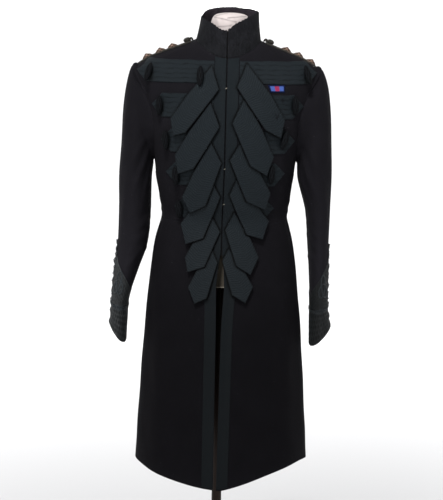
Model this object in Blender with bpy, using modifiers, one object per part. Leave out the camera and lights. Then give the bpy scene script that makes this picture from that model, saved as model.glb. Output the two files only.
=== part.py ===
"""A braided military frock coat on a limbless dress form.

The coat faces -Y and stands on +Z. Right and left are the wearer's, so the right side is at -X.
Body, skirt and form come from one table of rings, one row for each level. A point of a ring is
found from its angle: 0 is the centre front, 90 degrees the side, 180 the centre back. Whatever is
sewn on the coat is made from points of the same rings, moved out along their normals.
"""

import math

import bmesh
import bpy
import numpy as np

MM = 0.001

# Cloth and gaps
CLOTH = 2.2 * MM            # wall of the wool body
SLEEVE_CLOTH = 2.0 * MM
SEAM = 0.3 * MM             # gap between pieces that are sewn together
BRAID = 1.4 * MM            # flat mohair braid
RIB = 0.8 * MM              # how far a rib of the wide braid stands up
STRIP = 1.1 * MM            # braid along the front edges
LEAF = 2.0 * MM             # folded end of a wide braid
LEAF_LIFT = 2.7 * MM        # under side of a leaf at its fold, above the cloth
LEAF_SLOPE = 0.034          # how fast a leaf leaves the cloth on its way down

# Levels on the ring table
WAIST = 5                   # row of the waist seam
ARMPIT = 8                  # row of the underarm point
SHOULDER = 12               # row of the shoulder point
NECK = 16                   # last row

# Stand
BASE_RADIUS = 0.185
BASE_HEIGHT = 0.022
POLE_RADIUS = 0.0118
FORM_BOTTOM = 0.944
FORM_INSET = 4.2 * MM       # the form's skin, under the outside of the coat
NECK_X = 0.010
NECK_Y = -0.004
NECK_WIDE = 0.048           # half of the neck's width
NECK_DEEP = 0.050
NECK_FOOT = 1.5085
NECK_ROOT = -9.5 * MM       # where the form turns up into the neck, in from the neck seam

RINGS = np.array([
    # z_front z_side z_back x_mid   width  y_front  y_side  y_back  square
    (0.4720, 0.4960, 0.4900, 0.008, 0.2085, -0.2000, 0.000, 0.2050, 2.10),   # hem
    (0.6600, 0.6700, 0.6700, 0.007, 0.1965, -0.1800, 0.000, 0.1880, 2.10),
    (0.8400, 0.8400, 0.8400, 0.006, 0.1838, -0.1560, 0.000, 0.1640, 2.15),
    (0.9560, 0.9560, 0.9560, 0.005, 0.1725, -0.1350, 0.000, 0.1400, 2.20),
    (1.0250, 1.0250, 1.0250, 0.005, 0.1620, -0.1190, 0.000, 0.1170, 2.20),
    (1.0830, 1.0830, 1.0830, 0.005, 0.1478, -0.1080, 0.000, 0.0890, 2.25),   # waist
    (1.1250, 1.1250, 1.1250, 0.005, 0.1525, -0.1135, 0.000, 0.0900, 2.30),
    (1.1680, 1.1680, 1.1680, 0.004, 0.1590, -0.1190, 0.000, 0.0960, 2.40),
    (1.2150, 1.2150, 1.2150, 0.004, 0.1650, -0.1240, 0.000, 0.1020, 2.50),   # underarm
    (1.2700, 1.2700, 1.2720, 0.004, 0.1760, -0.1260, 0.000, 0.1070, 2.60),
    (1.3250, 1.3250, 1.3300, 0.004, 0.1890, -0.1240, 0.000, 0.1100, 2.65),
    (1.3720, 1.3800, 1.3900, 0.004, 0.2020, -0.1170, 0.000, 0.1080, 2.60),
    (1.4030, 1.4230, 1.4400, 0.004, 0.2120, -0.1090, 0.000, 0.1000, 2.45),   # shoulder point
    (1.4240, 1.4465, 1.4700, 0.004, 0.1860, -0.1020, 0.002, 0.0920, 2.30),
    (1.4370, 1.4640, 1.4900, 0.004, 0.1470, -0.0950, 0.002, 0.0820, 2.20),
    (1.4480, 1.4790, 1.5040, 0.005, 0.1070, -0.0870, 0.001, 0.0710, 2.10),
    (1.4560, 1.4920, 1.5130, 0.006, 0.0745, -0.0800, 0.000, 0.0620, 2.00),   # neck
])
Z_FRONT, Z_SIDE, Z_BACK, X_MID, WIDTH, Y_FRONT, Y_SIDE, Y_BACK, SQUARE = range(9)

# The hem rises between its front and its side, more on the left
HEM_RISE_RIGHT = 0.019
HEM_RISE_LEFT = 0.058

# Front edges: the fronts meet from the neck to below the waist and part over the skirt
FRONT_EDGES = np.array([
    # level   middle   gap
    (0.0, -0.0050, 0.0070),
    (1.0, -0.0045, 0.0090),
    (2.0, -0.0035, 0.0110),
    (2.8, -0.0015, 0.0150),
    (3.4, 0.0000, 0.0050),
    (3.8, 0.0000, SEAM),
    (5.0, 0.0000, SEAM),
    (8.0, 0.0030, SEAM),
    (16.0, 0.0040, SEAM),
])

# Sleeves: each row has where the outer and inner edge of a sleeve lie, and its depth
SLEEVE_ROWS = (
    # z_outer z_inner  right_outer right_inner left_outer left_inner y_mid  half_depth
    (1.4290, 1.2110, -0.2170, -0.1640, 0.2250, 0.1720, 0.000, 0.0735),
    (1.3940, 1.2080, -0.2275, -0.1640, 0.2390, 0.1725, 0.000, 0.0745),
    (1.3350, 1.2030, -0.2355, -0.1640, 0.2475, 0.1725, 0.000, 0.0755),
    (1.2550, 1.1940, -0.2390, -0.1650, 0.2520, 0.1730, 0.000, 0.0760),
    (1.1800, 1.1700, -0.2440, -0.1670, 0.2550, 0.1760, 0.002, 0.0755),
    (1.1000, 1.1000, -0.2440, -0.1690, 0.2540, 0.1950, 0.006, 0.0735),
    (1.0200, 1.0200, -0.2460, -0.1740, 0.2530, 0.2030, 0.003, 0.0700),
    (0.9550, 0.9550, -0.2520, -0.1950, 0.2520, 0.2075, -0.008, 0.0665),
    (0.8900, 0.8850, -0.2565, -0.2170, 0.2520, 0.2115, -0.022, 0.0630),
    (0.8600, 0.8400, -0.2580, -0.2210, 0.2550, 0.2120, -0.030, 0.0615),
    (0.8310, 0.7950, -0.2600, -0.2230, 0.2600, 0.2130, -0.037, 0.0600),
)
ARMHOLE_ANGLE = math.radians(30)    # half width of the armhole on the rings, at its widest
ARMHOLE_ROUND = 0.62                # power that rounds the armhole's ends
ARMHOLE_STEPS = 9                   # faces along half of an armhole
ARMHOLE_GAP = 0.5 * MM
SLEEVE_LEVELS = (0, 0.9, 1.8, 2.8, 3.8, 4.8, 5.8, 6.5, 7.2, 7.9, 8.6, 9.3, 9.9, 11)
SLEEVE_LIFT = 0.5 * MM              # under side of the braid on a sleeve
KNOT = 1.3 * MM                     # thickness of the braid on a sleeve
KNOT_MIDDLE = 1                     # sleeve edge on which the forearm's knot is centred
CUFF_DIP = 0.010                    # how much lower the front of a cuff hangs

# Wide braid: bands run from the front edge to a point near the armhole
BANDS = (
    # row  z_mid  right_point left_point
    (1, 1.4225, -0.2030, 0.2110),
    (2, 1.3495, -0.1650, 0.1800),
    (3, 1.2700, -0.1430, 0.1620),
    (4, 1.1955, -0.1310, 0.1410),
    (5, 1.1160, -0.1100, 0.1180),
)
BAND_HEIGHT = 0.054
BAND_POINT = 0.024                  # length of the pointed end
BAND_START = 0.036                  # where a band starts, from the front edge
BAND_RIBS = 5
BAND_LIFT = 0.5 * MM                # under side of a band above the cloth
BAND_STEP = 0.021                   # length of one face along a band
BAND_TUCK = 0.17                    # how far below the shoulder seam a band stops, in radians

# Leaves: the folded ends of the wide braids, one row each, in millimetres
LEAVES = (
    # side row  inner_x inner_z  fold_x fold_z  heel_x heel_z  toe_x toe_z  outer_x outer_z belly
    ("right", 1, -13, 1386, 17, 52, 71, 96, 26, 8, 8, 39, 5),
    ("right", 2, -10, 1304, 21, 55, 54, 94, 34, 14, 8, 44, 5),
    ("right", 3, -4, 1223, 25, 48, 32, 97, 34, 19, 19, 36, 4),
    ("right", 4, -5, 1145, 20, 36, 35, 99, 39, 16, 12, 46, 4),
    ("right", 5, -4, 1062, 19, 37, 32, 79, 38, 15, 7, 33, 4),
    ("right", 6, -8, 993, 14, 31, 22, 80, 27, 14, 16, 37, 4),
    ("left", 1, 27, 1391, 21, 53, 63, 91, 34, 19, 9, 42, 8),
    ("left", 2, 18, 1313, 27, 58, 41, 94, 36, 23, 15, 44, 5),
    ("left", 3, 14, 1230, 24, 41, 38, 93, 42, 21, 11, 40, 5),
    ("left", 4, 15, 1150, 17, 39, 39, 94, 36, 12, 13, 44, 4),
    ("left", 5, 7, 1066, 20, 44, 26, 80, 32, 20, 18, 39, 4),
    ("left", 6, 2, 997, 14, 29, 23, 75, 30, 19, 17, 37, 4),
)

OLIVETS = (
    # side  number  x      z     lean in degrees, its back above the cloth in mm
    ("right", 1, -0.1700, 1.4180, 4, 2.9),
    ("right", 2, -0.1440, 1.3480, 0, 2.4),
    ("right", 3, -0.1280, 1.2700, 0, 2.1),
    ("right", 4, -0.1046, 1.1890, 0, 2.5),
    ("right", 5, -0.0960, 1.1120, 0, 2.0),
    ("right", 6, -0.0552, 1.4134, 0, 5.9),
    ("left", 1, 0.1830, 1.4180, -4, 3.0),
    ("left", 2, 0.1560, 1.3530, 0, 3.1),
    ("left", 3, 0.1340, 1.2760, 16, 3.0),
    ("left", 4, 0.1068, 1.1970, 0, 2.4),
)
OLIVET_LENGTH = 0.046
OLIVET_WIDTH = 0.0165
OLIVET_DEPTH = 0.0125

STRIP_WIDTH = 0.026
STRIP_LIFT = 0.55 * MM
COLLAR_HEIGHT = 0.062
COLLAR_CLOTH = 2.4 * MM
COLLAR_GAP = 0.7 * MM
COLLAR_PROUD = 0.6 * MM
COLLAR_OPEN = 0.006                 # half of the slit between its front edges, in radians
COLLAR_LEAN = 0.008                 # how far the collar's top stands in from its seam
COLLAR_SHIFT = 0.0025               # how far its top stands over to the left
COLLAR_RISE = 0.007                 # how far it rises from its front corners to its sides
CORD_WIDTH = 0.022
CORD_HEIGHT = 0.0042                # the flat braid of a shoulder cord
CORD_STEPS = 49
# Along each shoulder cord: x, half length and height of its three knots and its button
CORD_KNOTS = {
    "right": ((-0.1793, 0.0130, 0.0085), (-0.1499, 0.0130, 0.0085),
              (-0.1217, 0.0130, 0.0085), (-0.0871, 0.0085, 0.0080)),
    "left": ((0.1960, 0.0130, 0.0085), (0.1675, 0.0130, 0.0085),
             (0.1390, 0.0130, 0.0085), (0.1005, 0.0085, 0.0080)),
}
RIBBON_BAR = (0.0967, 0.1375, 1.3810, 1.3945)   # x from, x to, z from, z to
RIBBON_THICK = 1.6 * MM

COLORS = {
    # finish: (colour, roughness, metallic)
    "wool": ((0.010, 0.010, 0.012), 0.85, 0.0),
    "mohair_braid": ((0.022, 0.030, 0.033), 0.55, 0.0),
    "collar_cloth": ((0.016, 0.018, 0.018), 0.8, 0.0),
    "plaited_cord": ((0.075, 0.055, 0.040), 0.5, 0.0),
    "ribbon": ((0.070, 0.060, 0.190), 0.6, 0.0),
    "form_linen": ((0.080, 0.060, 0.040), 0.9, 0.0),
    "neck_cover": ((0.740, 0.680, 0.660), 0.9, 0.0),
    "stand_finish": ((0.030, 0.020, 0.015), 0.4, 0.0),
}


# ---------------------------------------------------------------- surfaces

def smooth_row(level, table=RINGS):
    """Reads the ring table at any level, along a Catmull-Rom curve through its rows."""
    level = np.asarray(level, float)
    last = len(table) - 1
    i = np.clip(np.floor(level).astype(int), 0, last - 1)
    f = (level - i)[..., None]
    b, c = table[i], table[i + 1]
    a = np.where((i == 0)[..., None], 2 * b - c, table[np.maximum(i - 1, 0)])
    d = np.where((i == last - 1)[..., None], 2 * c - b, table[np.minimum(i + 2, last)])
    return 0.5 * (2 * b + (c - a) * f + (2 * a - 5 * b + 4 * c - d) * f**2
                  + (3 * b - a - 3 * c + d) * f**3)


def folds(angle, level):
    """Soft flutes of the skirt: none at the waist, deepest at the hem, more at the back."""
    fall = np.clip((WAIST - 0.6 - level) / (WAIST - 0.6), 0, 1) ** 1.3
    back = 0.5 - 0.5 * np.cos(angle)
    waves = np.cos(6 * angle + 0.6) * back + 0.35 * np.cos(9 * angle) * (1 - back) * back * 4
    return 0.0085 * fall * waves


def body_point(angle, level):
    """A point on the outside of the coat: a rounded-off ellipse, with its own front and back."""
    angle, level = np.broadcast_arrays(np.asarray(angle, float), np.asarray(level, float))
    row = smooth_row(level)
    sine, cosine = np.sin(angle), np.cos(angle)
    power = 2.0 / row[..., SQUARE]
    grow = folds(np.abs(angle), level)
    across = np.sign(sine) * np.abs(sine) ** power
    along = np.abs(cosine) ** power
    ends = np.where(cosine >= 0, row[..., Y_FRONT] - grow, row[..., Y_BACK] + grow)
    tops = np.where(cosine >= 0, row[..., Z_FRONT], row[..., Z_BACK])
    x = row[..., X_MID] + (row[..., WIDTH] + grow) * across
    y = row[..., Y_SIDE] + (ends - row[..., Y_SIDE]) * along
    z = row[..., Z_SIDE] + (tops - row[..., Z_SIDE]) * cosine**2
    rise = np.where(sine < 0, HEM_RISE_RIGHT, HEM_RISE_LEFT) * np.abs(sine)
    z = z + rise * np.clip(cosine, 0, None) * np.clip(1 - level, 0, 1)
    return np.stack([x, y, z], -1)


def body_normal(angle, level):
    """Outward unit normal, from differences along the ring and up the body."""
    step = 1e-3
    around = body_point(angle + step, level) - body_point(angle - step, level)
    up = body_point(angle, np.minimum(level + step, NECK))
    up = up - body_point(angle, np.maximum(level - step, 0))
    out = np.cross(around, up)
    return out / np.linalg.norm(out, axis=-1, keepdims=True)


def angle_at(x, level):
    """The angle, on the front of a ring, at which the ring passes through x."""
    row = smooth_row(level)
    ratio = np.clip((x - row[..., X_MID]) / row[..., WIDTH], -0.9999, 0.9999)
    return np.arcsin(np.sign(ratio) * np.abs(ratio) ** (row[..., SQUARE] / 2))


def front_skin(x, z):
    """The point of the coat's front at x and z, and its normal: halves the level until it fits."""
    x, z = np.broadcast_arrays(np.asarray(x, float), np.asarray(z, float))
    low, high = np.zeros(x.shape), np.full(x.shape, float(NECK))
    for _ in range(26):
        level = (low + high) / 2
        above = body_point(angle_at(x, level), level)[..., 2] > z
        high = np.where(above, level, high)
        low = np.where(above, low, level)
    angle = angle_at(x, level)
    return body_point(angle, level), body_normal(angle, level)


def drape(x, z):
    """Skin points and normals of a grid on the front, and how far its faces cut under the skin.

    A flat face on a rounded chest dips below it at its middle, so each point gets the deepest dip
    of the faces around it, for the caller to add to its lift.
    """
    skin, out = front_skin(x, z)
    middle = (skin[1:, 1:] + skin[1:, :-1] + skin[:-1, 1:] + skin[:-1, :-1]) / 4
    there, normal = front_skin(middle[..., 0], middle[..., 2])
    dip = np.clip(((there - middle) * normal).sum(-1), 0, None)
    deepest = np.zeros(skin.shape[:2])
    for rows in (slice(0, -1), slice(1, None)):
        for columns in (slice(0, -1), slice(1, None)):
            deepest[rows, columns] = np.maximum(deepest[rows, columns], dip)
    return skin, out, deepest


def front_edge(level, side):
    """x of a front edge at a level; side is -1 for the right front and 1 for the left."""
    middle = np.interp(level, FRONT_EDGES[:, 0], FRONT_EDGES[:, 1])
    gap = np.interp(level, FRONT_EDGES[:, 0], FRONT_EDGES[:, 2])
    return middle + side * gap / 2


def panel_levels(below):
    """Levels of a front or back: those below the armhole, the armhole's own, the shoulder's."""
    turn = np.linspace(math.pi, 0, ARMHOLE_STEPS + 1)
    armhole = ARMPIT + (SHOULDER - ARMPIT) * (0.5 + 0.5 * np.cos(turn))
    return np.concatenate([below, armhole[:-1],
                           np.linspace(SHOULDER, NECK, 5)])[:, None]


def armhole_half(level):
    """Half the angle that the armhole takes out of a ring at a level."""
    share = np.clip((np.asarray(level, float) - ARMPIT) / (SHOULDER - ARMPIT), 0, 1)
    return ARMHOLE_ANGLE * np.sin(math.pi * share) ** ARMHOLE_ROUND


# ---------------------------------------------------------------- mesh helpers

def material(finish):
    """The plain material of a finish."""
    found = bpy.data.materials.get(finish)
    if found:
        return found
    color, roughness, metallic = COLORS[finish]
    made = bpy.data.materials.new(finish)
    made.use_nodes = True
    shader = made.node_tree.nodes["Principled BSDF"]
    shader.inputs["Base Color"].default_value = (*color, 1.0)
    shader.inputs["Roughness"].default_value = roughness
    shader.inputs["Metallic"].default_value = metallic
    return made


def link(name, mesh, finish):
    """Puts a mesh in the coat's collection as one named piece."""
    mesh.materials.append(material(finish))
    mesh.shade_smooth()
    piece = bpy.data.objects.new(name, mesh)
    bpy.data.collections["frock_coat"].objects.link(piece)
    return piece


def grid_faces(rows, columns, closed=False):
    """Quads of a grid of points, in rows; closed joins its last column to its first."""
    r, c = np.meshgrid(np.arange(rows - 1), np.arange(columns - (not closed)), indexing="ij")
    right = (c + 1) % columns
    quads = np.stack([r * columns + c, r * columns + right,
                      (r + 1) * columns + right, (r + 1) * columns + c], -1)
    return quads.reshape(-1, 4)


def cloth(name, points, thickness, finish):
    """A grid of outside points, given its wall inwards by Solidify."""
    mesh = bpy.data.meshes.new(name)
    faces = grid_faces(*points.shape[:2])
    mesh.from_pydata(points.reshape(-1, 3).tolist(), [], faces.tolist())
    piece = link(name, mesh, finish)
    wall = piece.modifiers.new("wall", "SOLIDIFY")
    wall.thickness = thickness
    wall.offset = -1
    wall.use_even_offset = True
    return piece


def slab(name, outer, inner, finish, flip=False):
    """A closed solid between an outer and an inner grid of the same size, merged at its tips."""
    rows, columns = outer.shape[:2]
    count = rows * columns
    top = grid_faces(rows, columns)
    under = top[:, ::-1] + count
    index = np.arange(count).reshape(rows, columns)
    loop = np.concatenate([index[0, :-1], index[:-1, -1], index[-1, :0:-1], index[:0:-1, 0]])
    after = np.roll(loop, -1)
    rim = np.stack([after, loop, loop + count, after + count], -1)
    faces = np.concatenate([top, under, rim])
    if flip:
        faces = faces[:, ::-1]
    mesh = bpy.data.meshes.new(name)
    points = np.concatenate([outer.reshape(-1, 3), inner.reshape(-1, 3)])
    mesh.from_pydata(points.tolist(), [], faces.tolist())
    work = bmesh.new()
    work.from_mesh(mesh)
    bmesh.ops.remove_doubles(work, verts=work.verts, dist=1e-6)
    work.to_mesh(mesh)
    work.free()
    return link(name, mesh, finish)


def tube(name, outer, inner, finish, flip=False):
    """A closed wall between two tubes of points, open at both ends."""
    rows, columns = outer.shape[:2]
    count = rows * columns
    index = np.arange(count).reshape(rows, columns)
    side = grid_faces(rows, columns, closed=True)
    first, last = index[0], index[-1]
    ends = [np.stack([np.roll(first, -1), first, first + count, np.roll(first, -1) + count], -1),
            np.stack([last, np.roll(last, -1), np.roll(last, -1) + count, last + count], -1)]
    faces = np.concatenate([side, side[:, ::-1] + count, *ends])
    if flip:
        faces = faces[:, ::-1]
    mesh = bpy.data.meshes.new(name)
    points = np.concatenate([outer.reshape(-1, 3), inner.reshape(-1, 3)])
    mesh.from_pydata(points.tolist(), [], faces.tolist())
    return link(name, mesh, finish)


def closed_rings(name, rings, finish):
    """A closed solid through rings of points, bottom ring first, with flat ends."""
    levels, around = rings.shape[:2]
    faces = grid_faces(levels, around, closed=True).tolist()
    faces.append(list(range(around - 1, -1, -1)))
    faces.append(list(range((levels - 1) * around, levels * around)))
    mesh = bpy.data.meshes.new(name)
    mesh.from_pydata(rings.reshape(-1, 3).tolist(), [], faces)
    return link(name, mesh, finish)


# ---------------------------------------------------------------- the coat

def panel(name, angle, level, side):
    """A cut panel of the wool body, its wall set inwards along the normals of the rings."""
    skin = body_point(side * angle, level)
    under = skin - CLOTH * body_normal(side * angle, level)
    slab(name, skin, under, "wool", flip=side < 0)


def front(side, name):
    """A front: from its edge to the side seam, round the armhole, up to the shoulder seam."""
    level = panel_levels((WAIST + 0.008, 5.35, 5.8, 6.4, 7.2))
    edge = side * angle_at(front_edge(level, side), level)
    seam = math.pi / 2 - armhole_half(level) - 0.0025
    share = np.linspace(0, 1, 10)[None, :]
    angle = edge + (seam - edge) * share
    panel(name, angle, level, side)


def back(side, name):
    """A back: from the side seam to the centre-back seam, up to the shoulder seam."""
    level = panel_levels((WAIST + 0.008, 5.6, 6.7))
    seam = math.pi / 2 + armhole_half(level) + 0.0010
    centre = math.pi - 0.0016
    share = np.linspace(0, 1, 9)[None, :]
    angle = seam + (centre - seam) * share
    panel(name, angle, level, side)


def skirt(side, name):
    """Half of the skirt: from the front edge round to the centre back, waist seam to hem."""
    level = np.array([0, 0.5, 1, 1.6, 2.2, 2.8, 3.3, 3.8, 4.4, WAIST - 0.006])[:, None]
    edge = side * angle_at(front_edge(level, side), level)
    share = np.linspace(0, 1, 25)[None, :]
    angle = edge + (math.pi - 0.0014 - edge) * share
    panel(name, angle, level, side)


def armhole_ring(side, count, lift):
    """The armhole's edge as a ring: 0 at the shoulder, a quarter at the front, half underarm."""
    turn = np.linspace(0, 2 * math.pi, count, endpoint=False)
    level = ARMPIT + (SHOULDER - ARMPIT) * (0.5 + 0.5 * np.cos(turn))
    ahead = np.sin(turn) >= 0
    half = armhole_half(level)
    angle = np.where(ahead, math.pi / 2 - half, math.pi / 2 + half)
    ring = body_point(side * angle, level)
    ring[:, 0] += side * ARMHOLE_GAP
    spoke = (ring - ring.mean(0)) * (0, 1, 1)
    return ring + lift * spoke / np.linalg.norm(spoke, axis=1, keepdims=True)


def sleeve_turns():
    """The angles of a sleeve's lengthwise edges, from its outer side, forwards first."""
    return np.linspace(0, 2 * math.pi, 2 * ARMHOLE_STEPS, endpoint=False)


def sleeve_rings(side, count, lift=0.0):
    """Rings down a sleeve, armhole first, each an ellipse between its outer and inner edge."""
    turn = np.linspace(0, 2 * math.pi, count, endpoint=False)
    rings = [armhole_ring(side, count, lift)]
    for number, row in enumerate(SLEEVE_ROWS):
        z_outer, z_inner = row[:2]
        x_outer, x_inner = row[2:4] if side < 0 else row[4:6]
        y_mid, half_depth = row[6:]
        cosine, sine = np.cos(turn), np.sin(turn)
        half_x = (x_outer - x_inner) / 2 + side * lift
        ring = np.stack([(x_outer + x_inner) / 2 + half_x * cosine,
                         y_mid - (half_depth + lift) * sine,
                         (z_outer + z_inner) / 2 + (z_outer - z_inner) / 2 * cosine], -1)
        ring[:, 2] -= CUFF_DIP * np.clip(sine, -1, 1) * max(0, number - 7) / 3
        rings.append(ring)
    return np.array(rings)


def sleeve_point(side, turn, row, lift):
    """A point on a sleeve's faces at any turn and any row, moved out by lift."""
    count = 2 * ARMHOLE_STEPS
    rings = sleeve_rings(side, count, lift)
    rings = np.concatenate([rings, rings[:, :1]], 1)
    place = np.mod(turn, 2 * math.pi) / (2 * math.pi) * count
    column = np.clip(np.floor(place).astype(int), 0, count - 1)
    f = (place - column)[..., None]
    level = smooth_row(row, rings.reshape(len(rings), -1)).reshape(*np.shape(row), count + 1, 3)
    left = np.take_along_axis(level, column[..., None, None], -2)[..., 0, :]
    right = np.take_along_axis(level, column[..., None, None] + 1, -2)[..., 0, :]
    return left * (1 - f) + right * f


def sleeve(side, name):
    """A sleeve: a tube through its rings, open at the armhole and the cuff."""
    sleeve_tube(side, name, SLEEVE_LEVELS, 0.0, -SLEEVE_CLOTH, "wool")


def sleeve_tube(side, name, levels, outer_lift, inner_lift, finish):
    """A tube all round a sleeve, through some of its levels, between two distances from it."""
    turn, row = np.meshgrid(sleeve_turns(), levels, indexing="xy")
    outside = sleeve_point(side, turn, row, outer_lift)
    inside = sleeve_point(side, turn, row, inner_lift)
    tube(name, outside, inside, finish, flip=side < 0)


def seam_outward(angle):
    """Level unit vectors out from the neck's middle at the neck seam."""
    out = body_point(angle, float(NECK)) - (RINGS[NECK, X_MID], NECK_Y, 0.0)
    out[..., 2] = 0
    return out / np.linalg.norm(out, axis=-1, keepdims=True)


def collar(name):
    """The stand collar: up from the neck seam, open at the centre front."""
    angle = np.linspace(COLLAR_OPEN, 2 * math.pi - COLLAR_OPEN, 33)[None, :]
    up = np.linspace(0, 1, 4)[:, None]
    seam = body_point(angle, float(NECK))
    turn = np.minimum(angle, 2 * math.pi - angle)
    rise = (1 - np.exp(-(turn / 0.30) ** 2)) * np.clip((math.pi - turn) / 1.2, 0, 1)
    height = COLLAR_HEIGHT * (1 - 0.05 * (1 - np.cos(angle))) + COLLAR_RISE * rise
    lean = -COLLAR_LEAN * up * (1.5 - 0.5 * up)
    points = seam + seam_outward(angle) * (lean + COLLAR_PROUD)[..., None]
    points[..., 0] += COLLAR_SHIFT * up
    points[..., 2] += COLLAR_GAP + height * up
    cloth(name, points, COLLAR_CLOTH, "collar_cloth")


# ---------------------------------------------------------------- braid and cords

def edge_braid(side, name):
    """The strip of flat braid along a front edge, from the neck seam to the hem."""
    level = np.linspace(0.02, NECK - 0.25, 29)[:, None]
    share = np.linspace(0, 1, 3)[None, :]
    x = front_edge(level, side) + side * (0.0008 + STRIP_WIDTH * share)
    angle = angle_at(x, level)
    skin, out = body_point(angle, level), body_normal(angle, level)
    under = skin + out * STRIP_LIFT
    slab(name, under + STRIP * out, under, "mohair_braid", flip=side < 0)


def seam_height(side, x):
    """How high a band may reach at x before it meets the shoulder cord."""
    level = np.linspace(SHOULDER, NECK, 25)
    edge = body_point(np.full(25, side * (math.pi / 2 - BAND_TUCK)), level)
    return np.interp(np.abs(x), np.abs(edge[::-1, 0]), edge[::-1, 2])


def band(side, name, z_mid, point_x):
    """A wide braid with lengthwise ribs, plain underneath, with a spearhead end."""
    start = side * BAND_START
    neck_x = point_x - side * BAND_POINT
    x = np.linspace(start, neck_x, 2 + int(abs(neck_x - start) / BAND_STEP))
    across = np.linspace(-1, 1, 2 * BAND_RIBS + 1)
    grid_x = np.broadcast_to(x[:, None], (len(x), len(across)))
    above = np.minimum(BAND_HEIGHT / 2, seam_height(side, x) - z_mid)[:, None]
    grid_z = z_mid + across * np.where(across < 0, BAND_HEIGHT / 2, above)
    tip_x = neck_x + side * BAND_POINT * (1 - np.abs(across))
    grid_x = np.concatenate([grid_x, tip_x[None, :]])
    grid_z = np.concatenate([grid_z, grid_z[-1:]])
    rib = np.where(np.arange(len(across)) % 2 == 1, RIB, 0.0)
    rib = np.broadcast_to(rib, grid_x.shape)
    skin, out, dip = drape(grid_x, grid_z)
    under = skin + out * (BAND_LIFT + dip)[..., None]
    slab(name, under + out * (BRAID + rib - RIB)[..., None], under, "mohair_braid", flip=side > 0)


def leaf(row):
    """A folded braid end: two rails from the fold to the tip, with the cloth between them."""
    side_name, number = row[:2]
    side = -1 if side_name == "right" else 1
    inner_x, inner_z, fold_x, fold_z, heel_x, heel_z, toe_x, toe_z, outer_x, outer_z, belly = (
        MM * value for value in row[2:])
    inner = np.array([inner_x, inner_z])
    top = inner + (side * fold_x, fold_z)
    heel = inner + (side * heel_x, -heel_z)
    tip = heel + (side * toe_x, -toe_z)
    shoulder = tip + (side * outer_x, outer_z)
    brow = shoulder + (top - shoulder) * 0.45 + (side * belly, 0.0)
    marks = np.array([0.0, 0.42, 0.8, 1.0])
    along = np.array([0.0, 0.14, 0.28, 0.42, 0.61, 0.8, 0.9, 1.0])
    middle = inner + (heel - inner) * 0.5
    rails = []
    for stops in ((inner, middle, heel, tip), (top, brow, shoulder, tip)):
        stops = np.array(stops)
        rails.append(np.stack([np.interp(along, marks, stops[:, k]) for k in (0, 1)], -1))
    share = np.linspace(0, 1, 5)[None, :, None]
    flat = rails[0][:, None, :] * (1 - share) + rails[1][:, None, :] * share
    lift = LEAF_LIFT + LEAF_SLOPE * (top[1] - flat[..., 1])
    skin, out, dip = drape(flat[..., 0], flat[..., 1])
    under = skin + out * (lift + dip)[..., None]
    slab(f"leaf_{side_name}_{number}", under + LEAF * out, under, "mohair_braid", flip=side > 0)


def olivet(side_name, number, x, z, lean, lift):
    """A netted toggle: a long oval, flattened towards the coat, over the band's ribs."""
    skin, out = front_skin(x, z)
    place = skin + out * (lift * MM + OLIVET_DEPTH / 2)
    up = np.array((0, 0, 1)) - out[2] * out
    up /= np.linalg.norm(up)
    wide = np.cross(up, out)
    tip = math.radians(lean)
    axes = np.array((wide * math.cos(tip) - up * math.sin(tip), -out,
                     up * math.cos(tip) + wide * math.sin(tip)))
    mesh = bpy.data.meshes.new(f"olivet_{side_name}_{number}")
    work = bmesh.new()
    bmesh.ops.create_uvsphere(work, u_segments=8, v_segments=7, radius=0.5)
    work.to_mesh(mesh)
    work.free()
    points = np.empty(len(mesh.vertices) * 3)
    mesh.vertices.foreach_get("co", points)
    points = points.reshape(-1, 3) * (OLIVET_WIDTH, OLIVET_DEPTH, OLIVET_LENGTH)
    mesh.vertices.foreach_set("co", (points @ axes + place).ravel())
    link(mesh.name, mesh, "mohair_braid")


def cuff_braid(side, name):
    """Wide braid all round the end of a sleeve."""
    levels = (SLEEVE_LEVELS[-2], SLEEVE_LEVELS[-1] - 0.02)
    sleeve_tube(side, name, levels, SLEEVE_LIFT + KNOT, SLEEVE_LIFT, "mohair_braid")


def sleeve_knot(side, name):
    """Braided knot on the forearm: a point at the elbow that widens down to the cuff braid."""
    edges = 2 * math.pi / (2 * ARMHOLE_STEPS)
    widths = np.array([0.06, 1, 2, 3, 4]) * edges
    levels = np.array([*SLEEVE_LEVELS[-7:-2], SLEEVE_LEVELS[-2] - 0.03])
    widths = np.append(widths, 5 * edges)
    share = np.linspace(-1, 1, 11)
    turn = KNOT_MIDDLE * edges + np.clip(share * 5 * edges, -widths[:, None], widths[:, None])
    row = np.broadcast_to(levels[:, None], turn.shape)
    outer = sleeve_point(side, turn, row, SLEEVE_LIFT + KNOT)
    inner = sleeve_point(side, turn, row, SLEEVE_LIFT)
    slab(name, outer, inner, "mohair_braid", flip=side < 0)


def shoulder_cord(side, name):
    """A flat braid along the shoulder seam, with three knots and a button raised on it."""
    level = np.linspace(NECK - 0.42, SHOULDER + 0.15, CORD_STEPS)
    spine = body_point(np.full(CORD_STEPS, side * math.pi / 2), level)
    out = body_normal(np.full(CORD_STEPS, side * math.pi / 2), level)
    along = np.gradient(spine, axis=0)
    along /= np.linalg.norm(along, axis=-1, keepdims=True)
    wide = np.cross(along, out)
    knots = np.array(CORD_KNOTS["right" if side < 0 else "left"])
    away = np.abs(spine[:, :1] - knots[:, 0]) / knots[:, 1]
    raised = (knots[:, 2] * np.clip(1 - away ** 1.4, 0, None)).max(axis=1)
    section = np.array([(-1, 0.0), (-0.92, 0.55), (-0.45, 0.95), (0.45, 0.95),
                        (0.92, 0.55), (1, 0.0)])
    width = CORD_WIDTH / 2 * section[None, :, :1] * wide[:, None, :]
    height = (CORD_HEIGHT + raised)[:, None, None] * section[None, :, 1:] * out[:, None, :]
    rings = spine[:, None, :] + width + height + out[:, None, :] * 0.9 * MM
    closed_rings(name, rings, "plaited_cord")


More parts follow.
